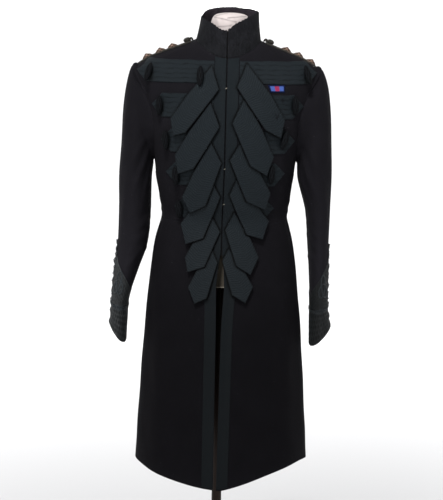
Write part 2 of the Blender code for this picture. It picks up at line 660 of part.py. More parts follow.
def ribbon_bar(name):
    """A short medal-ribbon bar under the first band, on the left front."""
    x_from, x_to, z_from, z_to = RIBBON_BAR
    x, z = np.meshgrid(np.linspace(x_from, x_to, 5), np.linspace(z_from, z_to, 2))
    skin, out, dip = drape(x, z)
    inner = skin + out * (SEAM + dip)[..., None]
    slab(name, inner + RIBBON_THICK * out, inner, "ribbon")


# ---------------------------------------------------------------- form and stand

def form_torso(name):
    """The padded form: the coat's own rings, inside its wall, closed below the hips."""
    levels = np.concatenate([[3.0, 3.6, 4.3], np.linspace(WAIST, SHOULDER - 0.5, 9),
                             np.linspace(SHOULDER, NECK - 0.3, 6)])[:, None]
    inset = FORM_INSET + np.interp(levels, [3.0, 4.3, 5.2], [0.030, 0.010, 0.0])
    slim = np.interp(levels, [8, 9, 11, 12, 13], [0, 0.008, 0.012, 0.008, 0])
    angle = np.linspace(0, 2 * math.pi, 28, endpoint=False)[None, :]
    rings = body_point(angle, levels) - inset[..., None] * body_normal(angle, levels)
    rings[..., 0] -= slim * np.sin(angle)
    rings[0, :, 2] = FORM_BOTTOM
    root = body_point(angle, float(NECK)) + NECK_ROOT * seam_outward(angle)
    root[..., 2] -= FORM_INSET - SEAM
    top = neck_ring(28, 1.0, NECK_FOOT - SEAM)
    closed_rings(name, np.concatenate([rings, root, top[None]]), "form_linen")


def neck_ring(count, share, z):
    """A level oval round the neck's axis, at a share of the neck's full width."""
    angle = np.linspace(0, 2 * math.pi, count, endpoint=False)
    return np.stack([NECK_X + share * NECK_WIDE * np.sin(angle),
                     NECK_Y - share * NECK_DEEP * np.cos(angle), np.full(count, z)], -1)


def form_neck(name):
    """The covered neck: an oval stump with a rounded top."""
    profile = (
        # height  share of its width
        (0.000, 1.00), (0.017, 0.96), (0.029, 0.92), (0.038, 0.83), (0.044, 0.64), (0.047, 0.30))
    rings = [neck_ring(24, share, NECK_FOOT + height) for height, share in profile]
    closed_rings(name, np.array(rings), "neck_cover")


def turned(name, profile, finish):
    """A turned piece: its profile runs down the outer side and is carried round by Screw."""
    mesh = bpy.data.meshes.new(name)
    points = [(radius, 0.0, z) for radius, z in profile]
    mesh.from_pydata(points, [(k, k + 1) for k in range(len(points) - 1)], [])
    piece = link(name, mesh, finish)
    spin = piece.modifiers.new("spin", "SCREW")
    spin.steps = 28
    spin.render_steps = 28
    spin.use_merge_vertices = True
    spin.merge_threshold = 1e-5
    return piece


def stand():
    """A plain round pole on a plain round base."""
    pole_foot = BASE_HEIGHT + 0.012
    turned("stand_pole", [(0.0, FORM_BOTTOM - SEAM), (POLE_RADIUS, FORM_BOTTOM - SEAM),
                          (POLE_RADIUS, pole_foot + SEAM), (0.0, pole_foot + SEAM)],
           "stand_finish")
    turned("stand_base", [(0.0, pole_foot), (0.022, pole_foot), (0.026, BASE_HEIGHT),
                          (BASE_RADIUS - 0.012, BASE_HEIGHT - 0.004),
                          (BASE_RADIUS - 0.003, BASE_HEIGHT - 0.008), (BASE_RADIUS, 0.008),
                          (BASE_RADIUS, 0.002), (BASE_RADIUS - 0.002, 0.0), (0.0, 0.0)],
           "stand_finish")


# ---------------------------------------------------------------- build

def clear():
    """Empties the scene and makes the coat's collection."""
    for found in list(bpy.data.objects):
        bpy.data.objects.remove(found)
    bpy.context.scene.collection.children.link(bpy.data.collections.new("frock_coat"))


def main():
    clear()
    for side, word in ((-1, "right"), (1, "left")):
        front(side, f"front_{word}")
        back(side, f"back_{word}")
        skirt(side, f"skirt_{word}")
        sleeve(side, f"sleeve_{word}")
        edge_braid(side, f"edge_braid_{word}")
        shoulder_cord(side, f"shoulder_cord_{word}")
        cuff_braid(side, f"cuff_braid_{word}")
        sleeve_knot(side, f"sleeve_knot_{word}")
        for number, z_mid, *points in BANDS:
            band(side, f"band_{word}_{number}", z_mid, points[side > 0])
    collar("collar")
    for row in LEAVES:
        leaf(row)
    for row in OLIVETS:
        olivet(*row)
    ribbon_bar("ribbon_bar")
    form_torso("form_torso")
    form_neck("form_neck")
    stand()


main()
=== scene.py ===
"""Dresses a packed frock coat on its form: cloth, braid, cords, fastenings, stage and camera.

Lengths are metres. The coat faces -Y, and right and left are the wearer's, so the right is at -X.
A point of the coat is found from an angle round the body (0 at the centre front, pi at the centre
back) and a level on the table of rings. A point of a sleeve is found from a turn round the arm
(0 on its outer side, a quarter turn in front) and a level on the table of sleeve rows.
"""

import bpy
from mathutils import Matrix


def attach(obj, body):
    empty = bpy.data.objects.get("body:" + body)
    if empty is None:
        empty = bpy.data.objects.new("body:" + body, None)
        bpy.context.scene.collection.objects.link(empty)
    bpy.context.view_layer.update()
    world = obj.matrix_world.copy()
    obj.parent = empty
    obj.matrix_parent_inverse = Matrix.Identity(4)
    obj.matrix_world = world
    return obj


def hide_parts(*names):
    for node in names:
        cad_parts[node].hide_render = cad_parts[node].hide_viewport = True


bl_info = {
    "name": "Braided Frock Coat",
    "version": (1, 0, 0),
    "blender": (4, 5, 0),
    "location": "View3D > Sidebar > Frock Coat",
    "description": "Builds the cloth, braid and fastenings of a braided frock coat round its frame",
    "category": "Object",
}

import math

import bmesh
import bpy
import numpy as np
from bpy.props import FloatProperty, FloatVectorProperty, PointerProperty
from mathutils import Matrix

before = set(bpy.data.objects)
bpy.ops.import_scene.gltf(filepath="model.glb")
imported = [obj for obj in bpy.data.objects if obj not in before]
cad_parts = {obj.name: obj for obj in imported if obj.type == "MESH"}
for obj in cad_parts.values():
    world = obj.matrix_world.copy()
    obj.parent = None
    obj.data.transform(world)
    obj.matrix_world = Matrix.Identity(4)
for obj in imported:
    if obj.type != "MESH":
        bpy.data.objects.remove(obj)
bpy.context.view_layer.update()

MM = 0.001
TAU = 2 * math.pi

# Levels on the ring table
WAIST, ARMPIT, SHOULDER, NECK = 5, 8, 12, 16

RINGS = np.array([
    # z_front z_side z_back x_mid   width  y_front  y_side  y_back  square
    (0.4720, 0.4960, 0.4900, 0.008, 0.2085, -0.2000, 0.000, 0.2050, 2.10),   # hem
    (0.6600, 0.6700, 0.6700, 0.007, 0.1965, -0.1800, 0.000, 0.1880, 2.10),
    (0.8400, 0.8400, 0.8400, 0.006, 0.1838, -0.1560, 0.000, 0.1640, 2.15),
    (0.9560, 0.9560, 0.9560, 0.005, 0.1725, -0.1350, 0.000, 0.1400, 2.20),
    (1.0250, 1.0250, 1.0250, 0.005, 0.1620, -0.1190, 0.000, 0.1170, 2.20),
    (1.0830, 1.0830, 1.0830, 0.005, 0.1478, -0.1080, 0.000, 0.0890, 2.25),   # waist
    (1.1250, 1.1250, 1.1250, 0.005, 0.1525, -0.1135, 0.000, 0.0900, 2.30),
    (1.1680, 1.1680, 1.1680, 0.004, 0.1590, -0.1190, 0.000, 0.0960, 2.40),
    (1.2150, 1.2150, 1.2150, 0.004, 0.1650, -0.1240, 0.000, 0.1020, 2.50),   # underarm
    (1.2700, 1.2700, 1.2720, 0.004, 0.1760, -0.1260, 0.000, 0.1070, 2.60),
    (1.3250, 1.3250, 1.3300, 0.004, 0.1890, -0.1240, 0.000, 0.1100, 2.65),
    (1.3720, 1.3800, 1.3900, 0.004, 0.2020, -0.1170, 0.000, 0.1080, 2.60),
    (1.4030, 1.4230, 1.4400, 0.004, 0.2120, -0.1090, 0.000, 0.1000, 2.45),   # shoulder point
    (1.4240, 1.4465, 1.4700, 0.004, 0.1860, -0.1020, 0.002, 0.0920, 2.30),
    (1.4370, 1.4640, 1.4900, 0.004, 0.1470, -0.0950, 0.002, 0.0820, 2.20),
    (1.4480, 1.4790, 1.5040, 0.005, 0.1070, -0.0870, 0.001, 0.0710, 2.10),
    (1.4560, 1.4920, 1.5130, 0.006, 0.0745, -0.0800, 0.000, 0.0620, 2.00),   # neck
])
Z_FRONT, Z_SIDE, Z_BACK, X_MID, WIDTH, Y_FRONT, Y_SIDE, Y_BACK, SQUARE = range(9)
HEM_RISE_RIGHT, HEM_RISE_LEFT = 0.019, 0.058

FRONT_EDGES = np.array([
    # level   middle   gap
    (0.0, -0.0050, 0.0070),
    (1.0, -0.0045, 0.0090),
    (2.0, -0.0035, 0.0110),
    (2.8, -0.0015, 0.0180),
    (3.4, -0.0005, 0.0110),
    (3.8, 0.0000, 0.0035),
    (4.2, 0.0000, 0.0020),
    (5.0, 0.0000, 0.0020),
    (8.0, 0.0030, 0.0020),
    (16.0, 0.0040, 0.0020),
])

SLEEVE_ROWS = (
    # z_outer z_inner  right_outer right_inner left_outer left_inner y_mid  half_depth
    (1.4290, 1.2110, -0.2170, -0.1640, 0.2250, 0.1720, 0.000, 0.0735),
    (1.3940, 1.2080, -0.2275, -0.1640, 0.2390, 0.1725, 0.000, 0.0745),
    (1.3350, 1.2030, -0.2355, -0.1640, 0.2475, 0.1725, 0.000, 0.0755),
    (1.2550, 1.1940, -0.2390, -0.1650, 0.2520, 0.1730, 0.000, 0.0760),
    (1.1800, 1.1700, -0.2440, -0.1670, 0.2550, 0.1760, 0.002, 0.0755),
    (1.1000, 1.1000, -0.2440, -0.1690, 0.2540, 0.1950, 0.006, 0.0735),
    (1.0200, 1.0200, -0.2460, -0.1740, 0.2530, 0.2030, 0.003, 0.0700),
    (0.9550, 0.9550, -0.2520, -0.1950, 0.2520, 0.2075, -0.008, 0.0665),
    (0.8900, 0.8850, -0.2565, -0.2170, 0.2520, 0.2115, -0.022, 0.0630),
    (0.8600, 0.8340, -0.2580, -0.2210, 0.2550, 0.2120, -0.030, 0.0615),
    (0.8310, 0.7835, -0.2600, -0.2230, 0.2600, 0.2130, -0.037, 0.0600),
)
ARMHOLE_ANGLE = math.radians(30)
ARMHOLE_ROUND = 0.62
ARMHOLE_GAP = 0.3 * MM
CUFF_DIP = -0.001
LAST_SLEEVE_LEVEL = len(SLEEVE_ROWS)

BANDS = (
    # row  z_mid  right_point left_point
    (1, 1.4225, -0.2030, 0.2110),
    (2, 1.3495, -0.1650, 0.1800),
    (3, 1.2700, -0.1430, 0.1620),
    (4, 1.1955, -0.1310, 0.1410),
    (5, 1.1160, -0.1100, 0.1180),
)
BAND_HEIGHT = 0.054
BAND_POINT = 0.024
BAND_LIFT = 0.5 * MM
BAND_TUCK = 0.17            # how far below the shoulder seam a band stops, in radians
BRAID = 1.4 * MM

LEAVES = (
    # side row  inner_x inner_z  fold_x fold_z  heel_x heel_z  toe_x toe_z  outer_x outer_z belly
    ("right", 1, -13, 1386, 17, 52, 71, 96, 26, 8, 8, 39, 5),
    ("right", 2, -10, 1304, 21, 55, 54, 94, 34, 14, 8, 44, 5),
    ("right", 3, -4, 1223, 25, 48, 32, 97, 34, 19, 19, 36, 4),
    ("right", 4, -5, 1145, 20, 36, 35, 99, 39, 16, 12, 46, 4),
    ("right", 5, -4, 1062, 19, 37, 32, 79, 38, 15, 7, 33, 4),
    ("right", 6, -8, 993, 14, 31, 22, 80, 27, 14, 16, 37, 4),
    ("left", 1, 27, 1391, 21, 53, 63, 91, 34, 19, 9, 42, 8),
    ("left", 2, 18, 1313, 27, 58, 41, 94, 36, 23, 15, 44, 5),
    ("left", 3, 14, 1230, 24, 41, 38, 93, 42, 21, 11, 40, 5),
    ("left", 4, 15, 1150, 17, 39, 39, 94, 36, 12, 13, 44, 4),
    ("left", 5, 7, 1066, 20, 44, 26, 80, 32, 20, 18, 39, 4),
    ("left", 6, 2, 997, 14, 29, 23, 75, 30, 19, 17, 37, 4),
)
LEAF = 2.0 * MM
LEAF_LIFT = 2.7 * MM

OLIVETS = (
    # side  number  x      z     lean in degrees, its back above the cloth in mm
    ("right", 1, -0.1700, 1.4180, 4, 2.9),
    ("right", 2, -0.1440, 1.3480, 0, 2.4),
    ("right", 3, -0.1280, 1.2700, 0, 2.1),
    ("right", 4, -0.1046, 1.1890, 0, 2.5),
    ("right", 5, -0.0960, 1.1120, 0, 2.0),
    ("right", 6, -0.0552, 1.4134, 0, 5.9),
    ("left", 1, 0.1830, 1.4180, -4, 3.0),
    ("left", 2, 0.1560, 1.3530, 0, 3.1),
    ("left", 3, 0.1340, 1.2760, 16, 3.0),
    ("left", 4, 0.1068, 1.1970, 0, 2.4),
)
OLIVET_SIZE = np.array((0.0165, 0.0125, 0.046))

# Creases: where one lies on its surface, the way it runs, how long, how wide, how deep in mm
BODY_CREASES = (
    # round   height  degrees  length  width   depth
    (0.236, 1.185, 62, 0.045, 0.008, 1.5),
    (0.262, 1.165, 70, 0.050, 0.009, 1.2),
    (0.250, 1.098, 4, 0.050, 0.006, 1.0),
    (0.300, 1.112, -12, 0.055, 0.007, 1.0),
    (0.380, 1.120, 14, 0.060, 0.008, 0.8),
    (0.340, 1.300, 78, 0.080, 0.016, 1.6),
    (0.420, 1.250, 84, 0.090, 0.020, 1.2),
    (0.230, 1.040, 80, 0.060, 0.012, 1.6),
    (0.150, 0.800, 88, 0.230, 0.024, 1.8),
    (0.215, 0.720, 86, 0.240, 0.030, 2.4),
    (0.285, 0.860, 92, 0.200, 0.018, 1.6),
    (0.350, 0.780, 88, 0.260, 0.020, 1.8),
    (0.090, 0.640, 86, 0.150, 0.022, 1.2),
)
SLEEVE_CREASES = (
    # round   height  degrees  length  width   depth
    (0.120, 1.205, 64, 0.060, 0.008, 2.4),
    (0.145, 1.180, 72, 0.050, 0.007, 2.2),
    (0.096, 1.235, 56, 0.055, 0.008, 1.6),
    (0.140, 1.075, 28, 0.045, 0.007, 2.0),
    (0.132, 1.040, 14, 0.050, 0.006, 2.2),
    (0.150, 1.005, -6, 0.045, 0.006, 1.8),
    (0.110, 0.985, 40, 0.040, 0.007, 1.2),
    (0.240, 1.060, -18, 0.050, 0.008, 1.8),
    (0.262, 1.022, 6, 0.055, 0.007, 1.6),
    (0.235, 1.190, 108, 0.060, 0.009, 2.0),
    (0.330, 1.280, 84, 0.090, 0.014, 1.2),
    (0.045, 1.300, 86, 0.100, 0.016, 1.2),
    (0.060, 1.130, 78, 0.080, 0.012, 1.2),
)
ROUND_BODY = 0.16           # metres of body for one radian, where a crease is placed
ROUND_SLEEVE = 0.058

CAMERA_LENS = 105.0
CAMERA_PLACE = (0.0, -3.40, 1.63)
CAMERA_PITCH = 10.5         # degrees below the horizon
CAMERA_ROLL = 1.2


# ---------------------------------------------------------------- the coat's own surfaces

def smooth_rows(level, rows):
    """Reads rows of numbers at any level, along the Catmull-Rom curve through them.

    rows is (count, values), or (count, ..., values) where its middle axes match level's shape.
    """
    level = np.asarray(level, float)
    last = len(rows) - 1
    i = np.clip(np.floor(level).astype(int), 0, last - 1)
    f = (level - i)[..., None]

    def row(k):
        k = np.clip(k, 0, last)
        return rows[k] if rows.ndim == 2 else np.take_along_axis(rows, k[None, ..., None], 0)[0]

    b, c = row(i), row(i + 1)
    a = np.where((i == 0)[..., None], 2 * b - c, row(i - 1))
    d = np.where((i == last - 1)[..., None], 2 * c - b, row(i + 2))
    return 0.5 * (2 * b + (c - a) * f + (2 * a - 5 * b + 4 * c - d) * f**2
                  + (3 * b - a - 3 * c + d) * f**3)


def step(low, high, value):
    """0 below low, 1 above high, and a smooth S between them."""
    t = np.clip((value - low) / (high - low), 0, 1)
    return t * t * (3 - 2 * t)


def flutes(angle, level):
    """Soft flutes of the skirt: cosines of the angle, none at the waist, deepest at the hem."""
    fall = np.clip((WAIST - 0.6 - level) / (WAIST - 0.6), 0, 1) ** 1.3
    back = 0.5 - 0.5 * np.cos(angle)
    waves = np.cos(6 * angle + 0.6) * back + 0.35 * np.cos(9 * angle) * (1 - back) * back * 4
    return 0.0085 * fall * waves


def body_point(angle, level):
    """The smooth outside of the coat: a squared-off ellipse with its own front and back."""
    angle, level = np.broadcast_arrays(np.asarray(angle, float), np.asarray(level, float))
    row = smooth_rows(level, RINGS)
    sine, cosine = np.sin(angle), np.cos(angle)
    power = 2.0 / row[..., SQUARE]
    grow = flutes(np.abs(angle), level)
    across = np.sign(sine) * np.abs(sine) ** power
    along = np.abs(cosine) ** power
    ends = np.where(cosine >= 0, row[..., Y_FRONT] - grow, row[..., Y_BACK] + grow)
    tops = np.where(cosine >= 0, row[..., Z_FRONT], row[..., Z_BACK])
    x = row[..., X_MID] + (row[..., WIDTH] + grow) * across
    y = row[..., Y_SIDE] + (ends - row[..., Y_SIDE]) * along
    z = row[..., Z_SIDE] + (tops - row[..., Z_SIDE]) * cosine**2
    rise = np.where(sine < 0, HEM_RISE_RIGHT, HEM_RISE_LEFT) * np.abs(sine)
    z = z + rise * np.clip(cosine, 0, None) * np.clip(1 - level, 0, 1)
    return np.stack([x, y, z], -1)


def unit(vectors):
    """The vectors at length 1."""
    return vectors / np.linalg.norm(vectors, axis=-1, keepdims=True)


def body_normal(angle, level):
    """Outward unit normal: the cross product of a step round the ring and a step up."""
    small = 1e-3
    around = body_point(angle + small, level) - body_point(angle - small, level)
    up = body_point(angle, np.minimum(level + small, NECK))
    up = up - body_point(angle, np.maximum(level - small, 0))
    return unit(np.cross(around, up))


def creases(around, height, table):
    """Sum of creases: each a Gaussian ridge beside a shallower valley, fading at its ends."""
    total = np.zeros(np.broadcast(around, height).shape)
    for s, t, degrees, length, width, depth in table:
        c, d = math.cos(math.radians(degrees)), math.sin(math.radians(degrees))
        along = (around - s) * c + (height - t) * d
        across = (height - t) * c - (around - s) * d
        ridge = np.exp(-(across / width) ** 2) - 0.55 * np.exp(-(across / width - 1.7) ** 2)
        total = total + depth * MM * np.exp(-(along / length) ** 2) * ridge
    return total


def body_skin(angle, level):
    """The coat with its creases: moved along its normals, and left smooth under the trimming."""
    angle, level = np.broadcast_arrays(np.asarray(angle, float), np.asarray(level, float))
    point, out = body_point(angle, level), body_normal(angle, level)
    turn = np.abs(angle)
    bare = np.where(level > WAIST - 2.2, step(0.95, 1.30, turn), step(0.22, 0.42, turn))
    edge = step(0.0, 0.5, level) * step(0.0, 0.4, np.abs(level - WAIST))
    edge = edge * step(0.0, 1.0, NECK - level)
    armhole = np.where(level > ARMPIT - 0.6, step(0.02, 0.16, np.abs(turn - math.pi / 2)), 1.0)
    depth = creases(turn * ROUND_BODY, point[..., 2], BODY_CREASES)
    depth = depth + 0.5 * MM * np.sin(point[..., 2] * 46 + angle * 5) * np.sin(angle * 9 + 1.3)
    return point + out * (depth * bare * edge * armhole)[..., None], out


def angle_at(x, level):
    """The angle, on the front of a ring, at which the ring passes through x."""
    row = smooth_rows(level, RINGS)
    ratio = np.clip((x - row[..., X_MID]) / row[..., WIDTH], -0.9999, 0.9999)
    return np.arcsin(np.sign(ratio) * np.abs(ratio) ** (row[..., SQUARE] / 2))


def front_skin(x, z):
    """The coat's front at x and z, and its normal: the level is halved in until it fits."""
    x, z = np.broadcast_arrays(np.asarray(x, float), np.asarray(z, float))
    low, high = np.zeros(x.shape), np.full(x.shape, float(NECK))
    for _ in range(26):
        level = (low + high) / 2
        above = body_point(angle_at(x, level), level)[..., 2] > z
        high = np.where(above, level, high)
        low = np.where(above, low, level)
    angle = angle_at(x, level)
    return body_point(angle, level), body_normal(angle, level)


def front_edge(level, side):
    """x of a front edge at a level; side is -1 for the right front and 1 for the left."""
    middle = np.interp(level, FRONT_EDGES[:, 0], FRONT_EDGES[:, 1])
    gap = np.interp(level, FRONT_EDGES[:, 0], FRONT_EDGES[:, 2])
    return middle + side * gap / 2


def leaf_stops(word, *sizes):
    """The two rails of a leaf: four points down its inner edge and four down its outer one."""
    side = -1 if word == "right" else 1
    (inner_x, inner_z, fold_x, fold_z, heel_x, heel_z, toe_x, toe_z, outer_x, outer_z,
     belly) = (MM * value for value in sizes)
    inner = np.array([inner_x, inner_z])
    top = inner + (side * fold_x, fold_z)
    heel = inner + (side * heel_x, -heel_z)
    tip = heel + (side * toe_x, -toe_z)
    shoulder = tip + (side * outer_x, outer_z)
    brow = shoulder + (top - shoulder) * 0.45 + (side * belly, 0.0)
    middle = inner + (heel - inner) * 0.5
    return np.array((inner, middle, heel, tip)), np.array((top, brow, shoulder, tip))


def under_leaves(word, x, z, above=9):
    """Contact shade beside the leaves that lie over a point: 1 at an outline, less 3 mm away."""
    near = np.full(np.broadcast_shapes(np.shape(x), np.shape(z)), 1.0)
    place = np.stack(np.broadcast_arrays(x, z), -1)[..., None, :]
    for row in LEAVES:
        if row[0] == word and row[1] < above:
            inner, outer = leaf_stops(word, *row[2:])
            corners = np.concatenate([inner, outer[-2::-1]])
            run = np.roll(corners, -1, 0) - corners
            off = place - corners
            share = np.clip((off * run).sum(-1) / (run ** 2).sum(-1), 0, 1)
            gap = np.linalg.norm(off - share[..., None] * run, axis=-1).min(-1)
            near = np.minimum(near, gap)
    return np.exp(-(near / (3.2 * MM)) ** 2)


def beside_olivets(word, x, z):
    """Contact shade round the olivets: 1 along each oval's outline, less 3 mm away."""
    near = np.full(np.broadcast_shapes(np.shape(x), np.shape(z)), 9.0)
    for row in OLIVETS:
        if row[0] == word:
            off_x, off_z = x - row[2] - 1.5 * MM, z - row[3] + 1.0 * MM
            near = np.minimum(near, np.hypot(off_x / (6.0 * MM), off_z / (17.0 * MM)) - 0.8)
    return np.exp(-(np.maximum(near, 0) / 0.5) ** 2)


def seam_height(side, x):
    """How high a band may reach at x before it meets the shoulder cord."""
    level = np.linspace(SHOULDER, NECK, 40)
    edge = body_point(np.full(40, side * (math.pi / 2 - BAND_TUCK)), level)
    return np.interp(np.abs(x), np.abs(edge[::-1, 0]), edge[::-1, 2])


def armhole_half(level):
    """Half the angle that the armhole takes out of a ring: a rounded half sine over its levels."""
    share = np.clip((np.asarray(level, float) - ARMPIT) / (SHOULDER - ARMPIT), 0, 1)
    return ARMHOLE_ANGLE * np.sin(math.pi * share) ** ARMHOLE_ROUND


def panel_levels(below, armhole, above):
    """Levels of a body panel: below the armhole, along it by the cosine, and over the shoulder."""
    turn = np.linspace(math.pi, 0, armhole + 1)
    ring = ARMPIT + (SHOULDER - ARMPIT) * (0.5 + 0.5 * np.cos(turn))
    low = np.linspace(WAIST + 0.008, ARMPIT, below + 1)[:-1]
    return np.concatenate([low, ring[:-1], np.linspace(SHOULDER, NECK, above + 1)])[:, None]


def sleeve_base(side, turn, level):
    """A smooth sleeve: ellipses between its outer and inner edge, the first one the armhole."""
    turn, level = np.broadcast_arrays(np.asarray(turn, float), np.asarray(level, float))
    cosine, sine = np.cos(turn), np.sin(turn)
    ring_level = ARMPIT + (SHOULDER - ARMPIT) * (0.5 + 0.5 * cosine)
    half = armhole_half(ring_level) * np.where(sine >= 0, -1, 1)
    first = body_point(side * (math.pi / 2 + half), ring_level)
    first[..., 0] += side * ARMHOLE_GAP
    rings = [first]
    for number, row in enumerate(SLEEVE_ROWS):
        z_outer, z_inner = row[:2]
        x_outer, x_inner = row[2:4] if side < 0 else row[4:6]
        y_mid, half_depth = row[6:]
        dip = CUFF_DIP * sine * max(0, number - 7) / 3
        rings.append(np.stack([
            (x_outer + x_inner) / 2 + (x_outer - x_inner) / 2 * cosine,
            y_mid - half_depth * sine,
            (z_outer + z_inner) / 2 + (z_outer - z_inner) / 2 * cosine - dip], -1))
    return smooth_rows(level, np.array(rings))


def sleeve_skin(side, turn, level, lift=0.0):
    """A sleeve with its creases, moved out by lift along its normals."""
    small = 1e-3
    point = sleeve_base(side, turn, level)
    around = sleeve_base(side, turn + small, level) - sleeve_base(side, turn - small, level)
    last = LAST_SLEEVE_LEVEL
    down = sleeve_base(side, turn, np.minimum(level + small, last))
    down = down - sleeve_base(side, turn, np.maximum(level - small, 0))
    out = unit(np.cross(around, down) * side)
    place = np.mod(turn, TAU) * ROUND_SLEEVE
    shift = 0.012 if side > 0 else 0.0
    depth = creases(place, point[..., 2] + shift, SLEEVE_CREASES)
    depth = depth + 0.4 * MM * np.sin(point[..., 2] * 52 + 2 * side) * np.sin(3 * turn + 0.7)
    falloff = step(0.0, 0.8, level) * (1 - step(7.6, 8.6, level)) * step(0.05, 0.5, np.abs(turn))
    falloff = falloff * step(0.05, 0.5, TAU - turn)
    round_off = point[..., 2] * TAU
    looped = 1.2 * np.sin(round_off / 0.023) + 0.7 * np.sin(round_off / 0.014 + side)
    looped = looped * np.exp(-(np.sin(turn / 2) / 0.3) ** 2) * step(6.7, 7.6, level)
    return point + out * (lift + depth * falloff + looped * MM)[..., None], out


# ---------------------------------------------------------------- mesh helpers

def grid_faces(rows, columns):
    """Quads of a grid of points, in rows."""
    r, c = np.meshgrid(np.arange(rows - 1), np.arange(columns - 1), indexing="ij")
    return np.stack([r * columns + c, r * columns + c + 1,
                     (r + 1) * columns + c + 1, (r + 1) * columns + c], -1).reshape(-1, 4)


def sewn(name, points, faces, uv, finish, edge=None, inner_from=None, corner=38):
    """A mesh from arrays: seams of equal points are merged, and its faces turned outwards.

    finish is a material, or two where faces from inner_from on show the second.
    """
    mesh = bpy.data.meshes.new(name)
    mesh.vertices.add(len(points))
    mesh.vertices.foreach_set("co", np.ascontiguousarray(points, np.float32).ravel())
    mesh.loops.add(faces.size)
    mesh.loops.foreach_set("vertex_index", faces.ravel().astype(np.int32))
    mesh.polygons.add(len(faces))
    mesh.polygons.foreach_set("loop_start", np.arange(0, faces.size, 4, dtype=np.int32))
    if inner_from is not None:
        index = (np.arange(len(faces)) >= inner_from).astype(np.int32)
        mesh.polygons.foreach_set("material_index", index)
    layer = mesh.uv_layers.new(name="weave")
    layer.uv.foreach_set("vector", uv[faces.ravel()].astype(np.float32).ravel())
    if edge is not None:
        values = edge.ravel().astype(np.float32)
        mesh.attributes.new("edge", "FLOAT", "POINT").data.foreach_set("value", values)
    mesh.update(calc_edges=True)
    work = bmesh.new()
    work.from_mesh(mesh)
    bmesh.ops.remove_doubles(work, verts=work.verts, dist=2e-6)
    bmesh.ops.recalc_face_normals(work, faces=work.faces)
    work.to_mesh(mesh)
    work.free()
    mesh.update()
    mesh.shade_smooth()
    mesh.set_sharp_from_angle(angle=math.radians(corner))
    for made in finish if isinstance(finish, list) else [finish]:
        mesh.materials.append(made)
    piece = bpy.data.objects.new(name, mesh)
    bpy.context.scene.collection.objects.link(piece)
    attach(piece, "root")
    return piece


def run_of(path):
    """Distances along a path from its start."""
    return np.concatenate([[0], np.cumsum(np.linalg.norm(np.diff(path, axis=0), axis=-1))])


def arc_uv(points):
    """UV in metres: along a grid's rows and down its columns, both from its middle lines."""
    rows, columns = points.shape[:2]
    u, v = run_of(points[rows // 2]), run_of(points[:, columns // 2])
    return np.stack(np.meshgrid(u, v), -1)


def shell(name, points, finish, edge=None, uv=None, corner=38):
    """A piece from one grid of points that closes on itself."""
    uv = arc_uv(points) if uv is None else uv
    return sewn(name, points.reshape(-1, 3), grid_faces(*points.shape[:2]), uv.reshape(-1, 2),
                finish, edge, corner=corner)


def slab(name, outer, inner, finish, uv=None, edge=None, corner=38):
    """A closed solid between an outer and an inner grid of points of the same size."""
    rows, columns = outer.shape[:2]
    count = rows * columns
    uv = arc_uv(outer) if uv is None else uv
    edge = np.zeros(outer.shape[:2]) if edge is None else edge
    top = grid_faces(rows, columns)
    index = np.arange(count).reshape(rows, columns)
    loop = np.concatenate([index[0, :-1], index[:-1, -1], index[-1, :0:-1], index[:0:-1, 0]])
    after = np.roll(loop, -1)
    rim = np.stack([after, loop, loop + count, after + count], -1)
    faces = np.concatenate([top, rim, top[:, ::-1] + count])
    points = np.concatenate([outer.reshape(-1, 3), inner.reshape(-1, 3)])
    inner_from = len(top) + len(rim) if isinstance(finish, list) else None
    return sewn(name, points, faces, np.concatenate([uv.reshape(-1, 2)] * 2), finish,
                np.concatenate([edge.ravel()] * 2), inner_from, corner)


def tube(path, radius, out, around=12, squash=1.0):
    """A cord: ellipses carried along a path, closed at both ends; radius may change on the way."""
    along = unit(np.gradient(path, axis=0))
    wide = unit(np.cross(along, out))
    high = np.cross(wide, along)
    length = run_of(path)
    size = np.broadcast_to(radius, length.shape)[:, None]
    turn = np.linspace(0, TAU, around + 1)
    rings = (path[:, None] + wide[:, None] * (size * np.cos(turn))[..., None]
             + high[:, None] * (size * squash * np.sin(turn))[..., None])
    caps = [np.repeat(path[k][None, None], around + 1, 1) for k in (0, -1)]
    points = np.concatenate([caps[0], rings, caps[1]])
    length = np.concatenate([length[:1], length, length[-1:]])
    return points, np.stack(np.meshgrid(turn / TAU, length), -1)


def joined(name, parts, finish, corner=60, nets=None):
    """One piece from several grids of points with their UVs, each closed in itself."""
    starts = np.cumsum([0] + [grid[..., 0].size for grid, _ in parts])
    faces = [grid_faces(*grid.shape[:2]) + start for (grid, _), start in zip(parts, starts)]
    points = np.concatenate([grid.reshape(-1, 3) for grid, _ in parts])
    uv = np.concatenate([uv.reshape(-1, 2) for _, uv in parts])
    edge = np.concatenate([net.ravel() for net in nets]) if nets else None
    return sewn(name, points, np.concatenate(faces), uv, finish, edge, corner=corner)


def cut_size(points):
    """The flat cut of a grid of cloth: its widest row, its longest column, and its area."""
    width = np.linalg.norm(np.diff(points, axis=1), axis=-1).sum(1).max()
    length = np.linalg.norm(np.diff(points, axis=0), axis=-1).sum(0).max()
    a, b = points[1:, 1:] - points[:-1, :-1], points[1:, :-1] - points[:-1, 1:]
    area = np.linalg.norm(np.cross(a, b), axis=-1).sum() / 2
    return (round(float(width), 3), round(float(length), 3)), float(area)


def stands_for(piece, node=None):
    """Hides the CAD part that a piece stands for, when its node is given."""
    if node:
        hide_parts(node)


def as_cloth(piece, node, points):
    """Hides the CAD part that a cloth piece stands for, and works out the flat size that it was cut
    to.
    """
    stands_for(piece, node)
    flat, area = cut_size(points)
    area = min(area, flat[0] * flat[1])


def rounded(distance, radius):
    """The height share of a rounded edge: a quarter circle over the first radius from the edge."""
    t = np.clip(distance / radius, 0, 1)
    return np.sqrt(1 - (1 - t) ** 2)


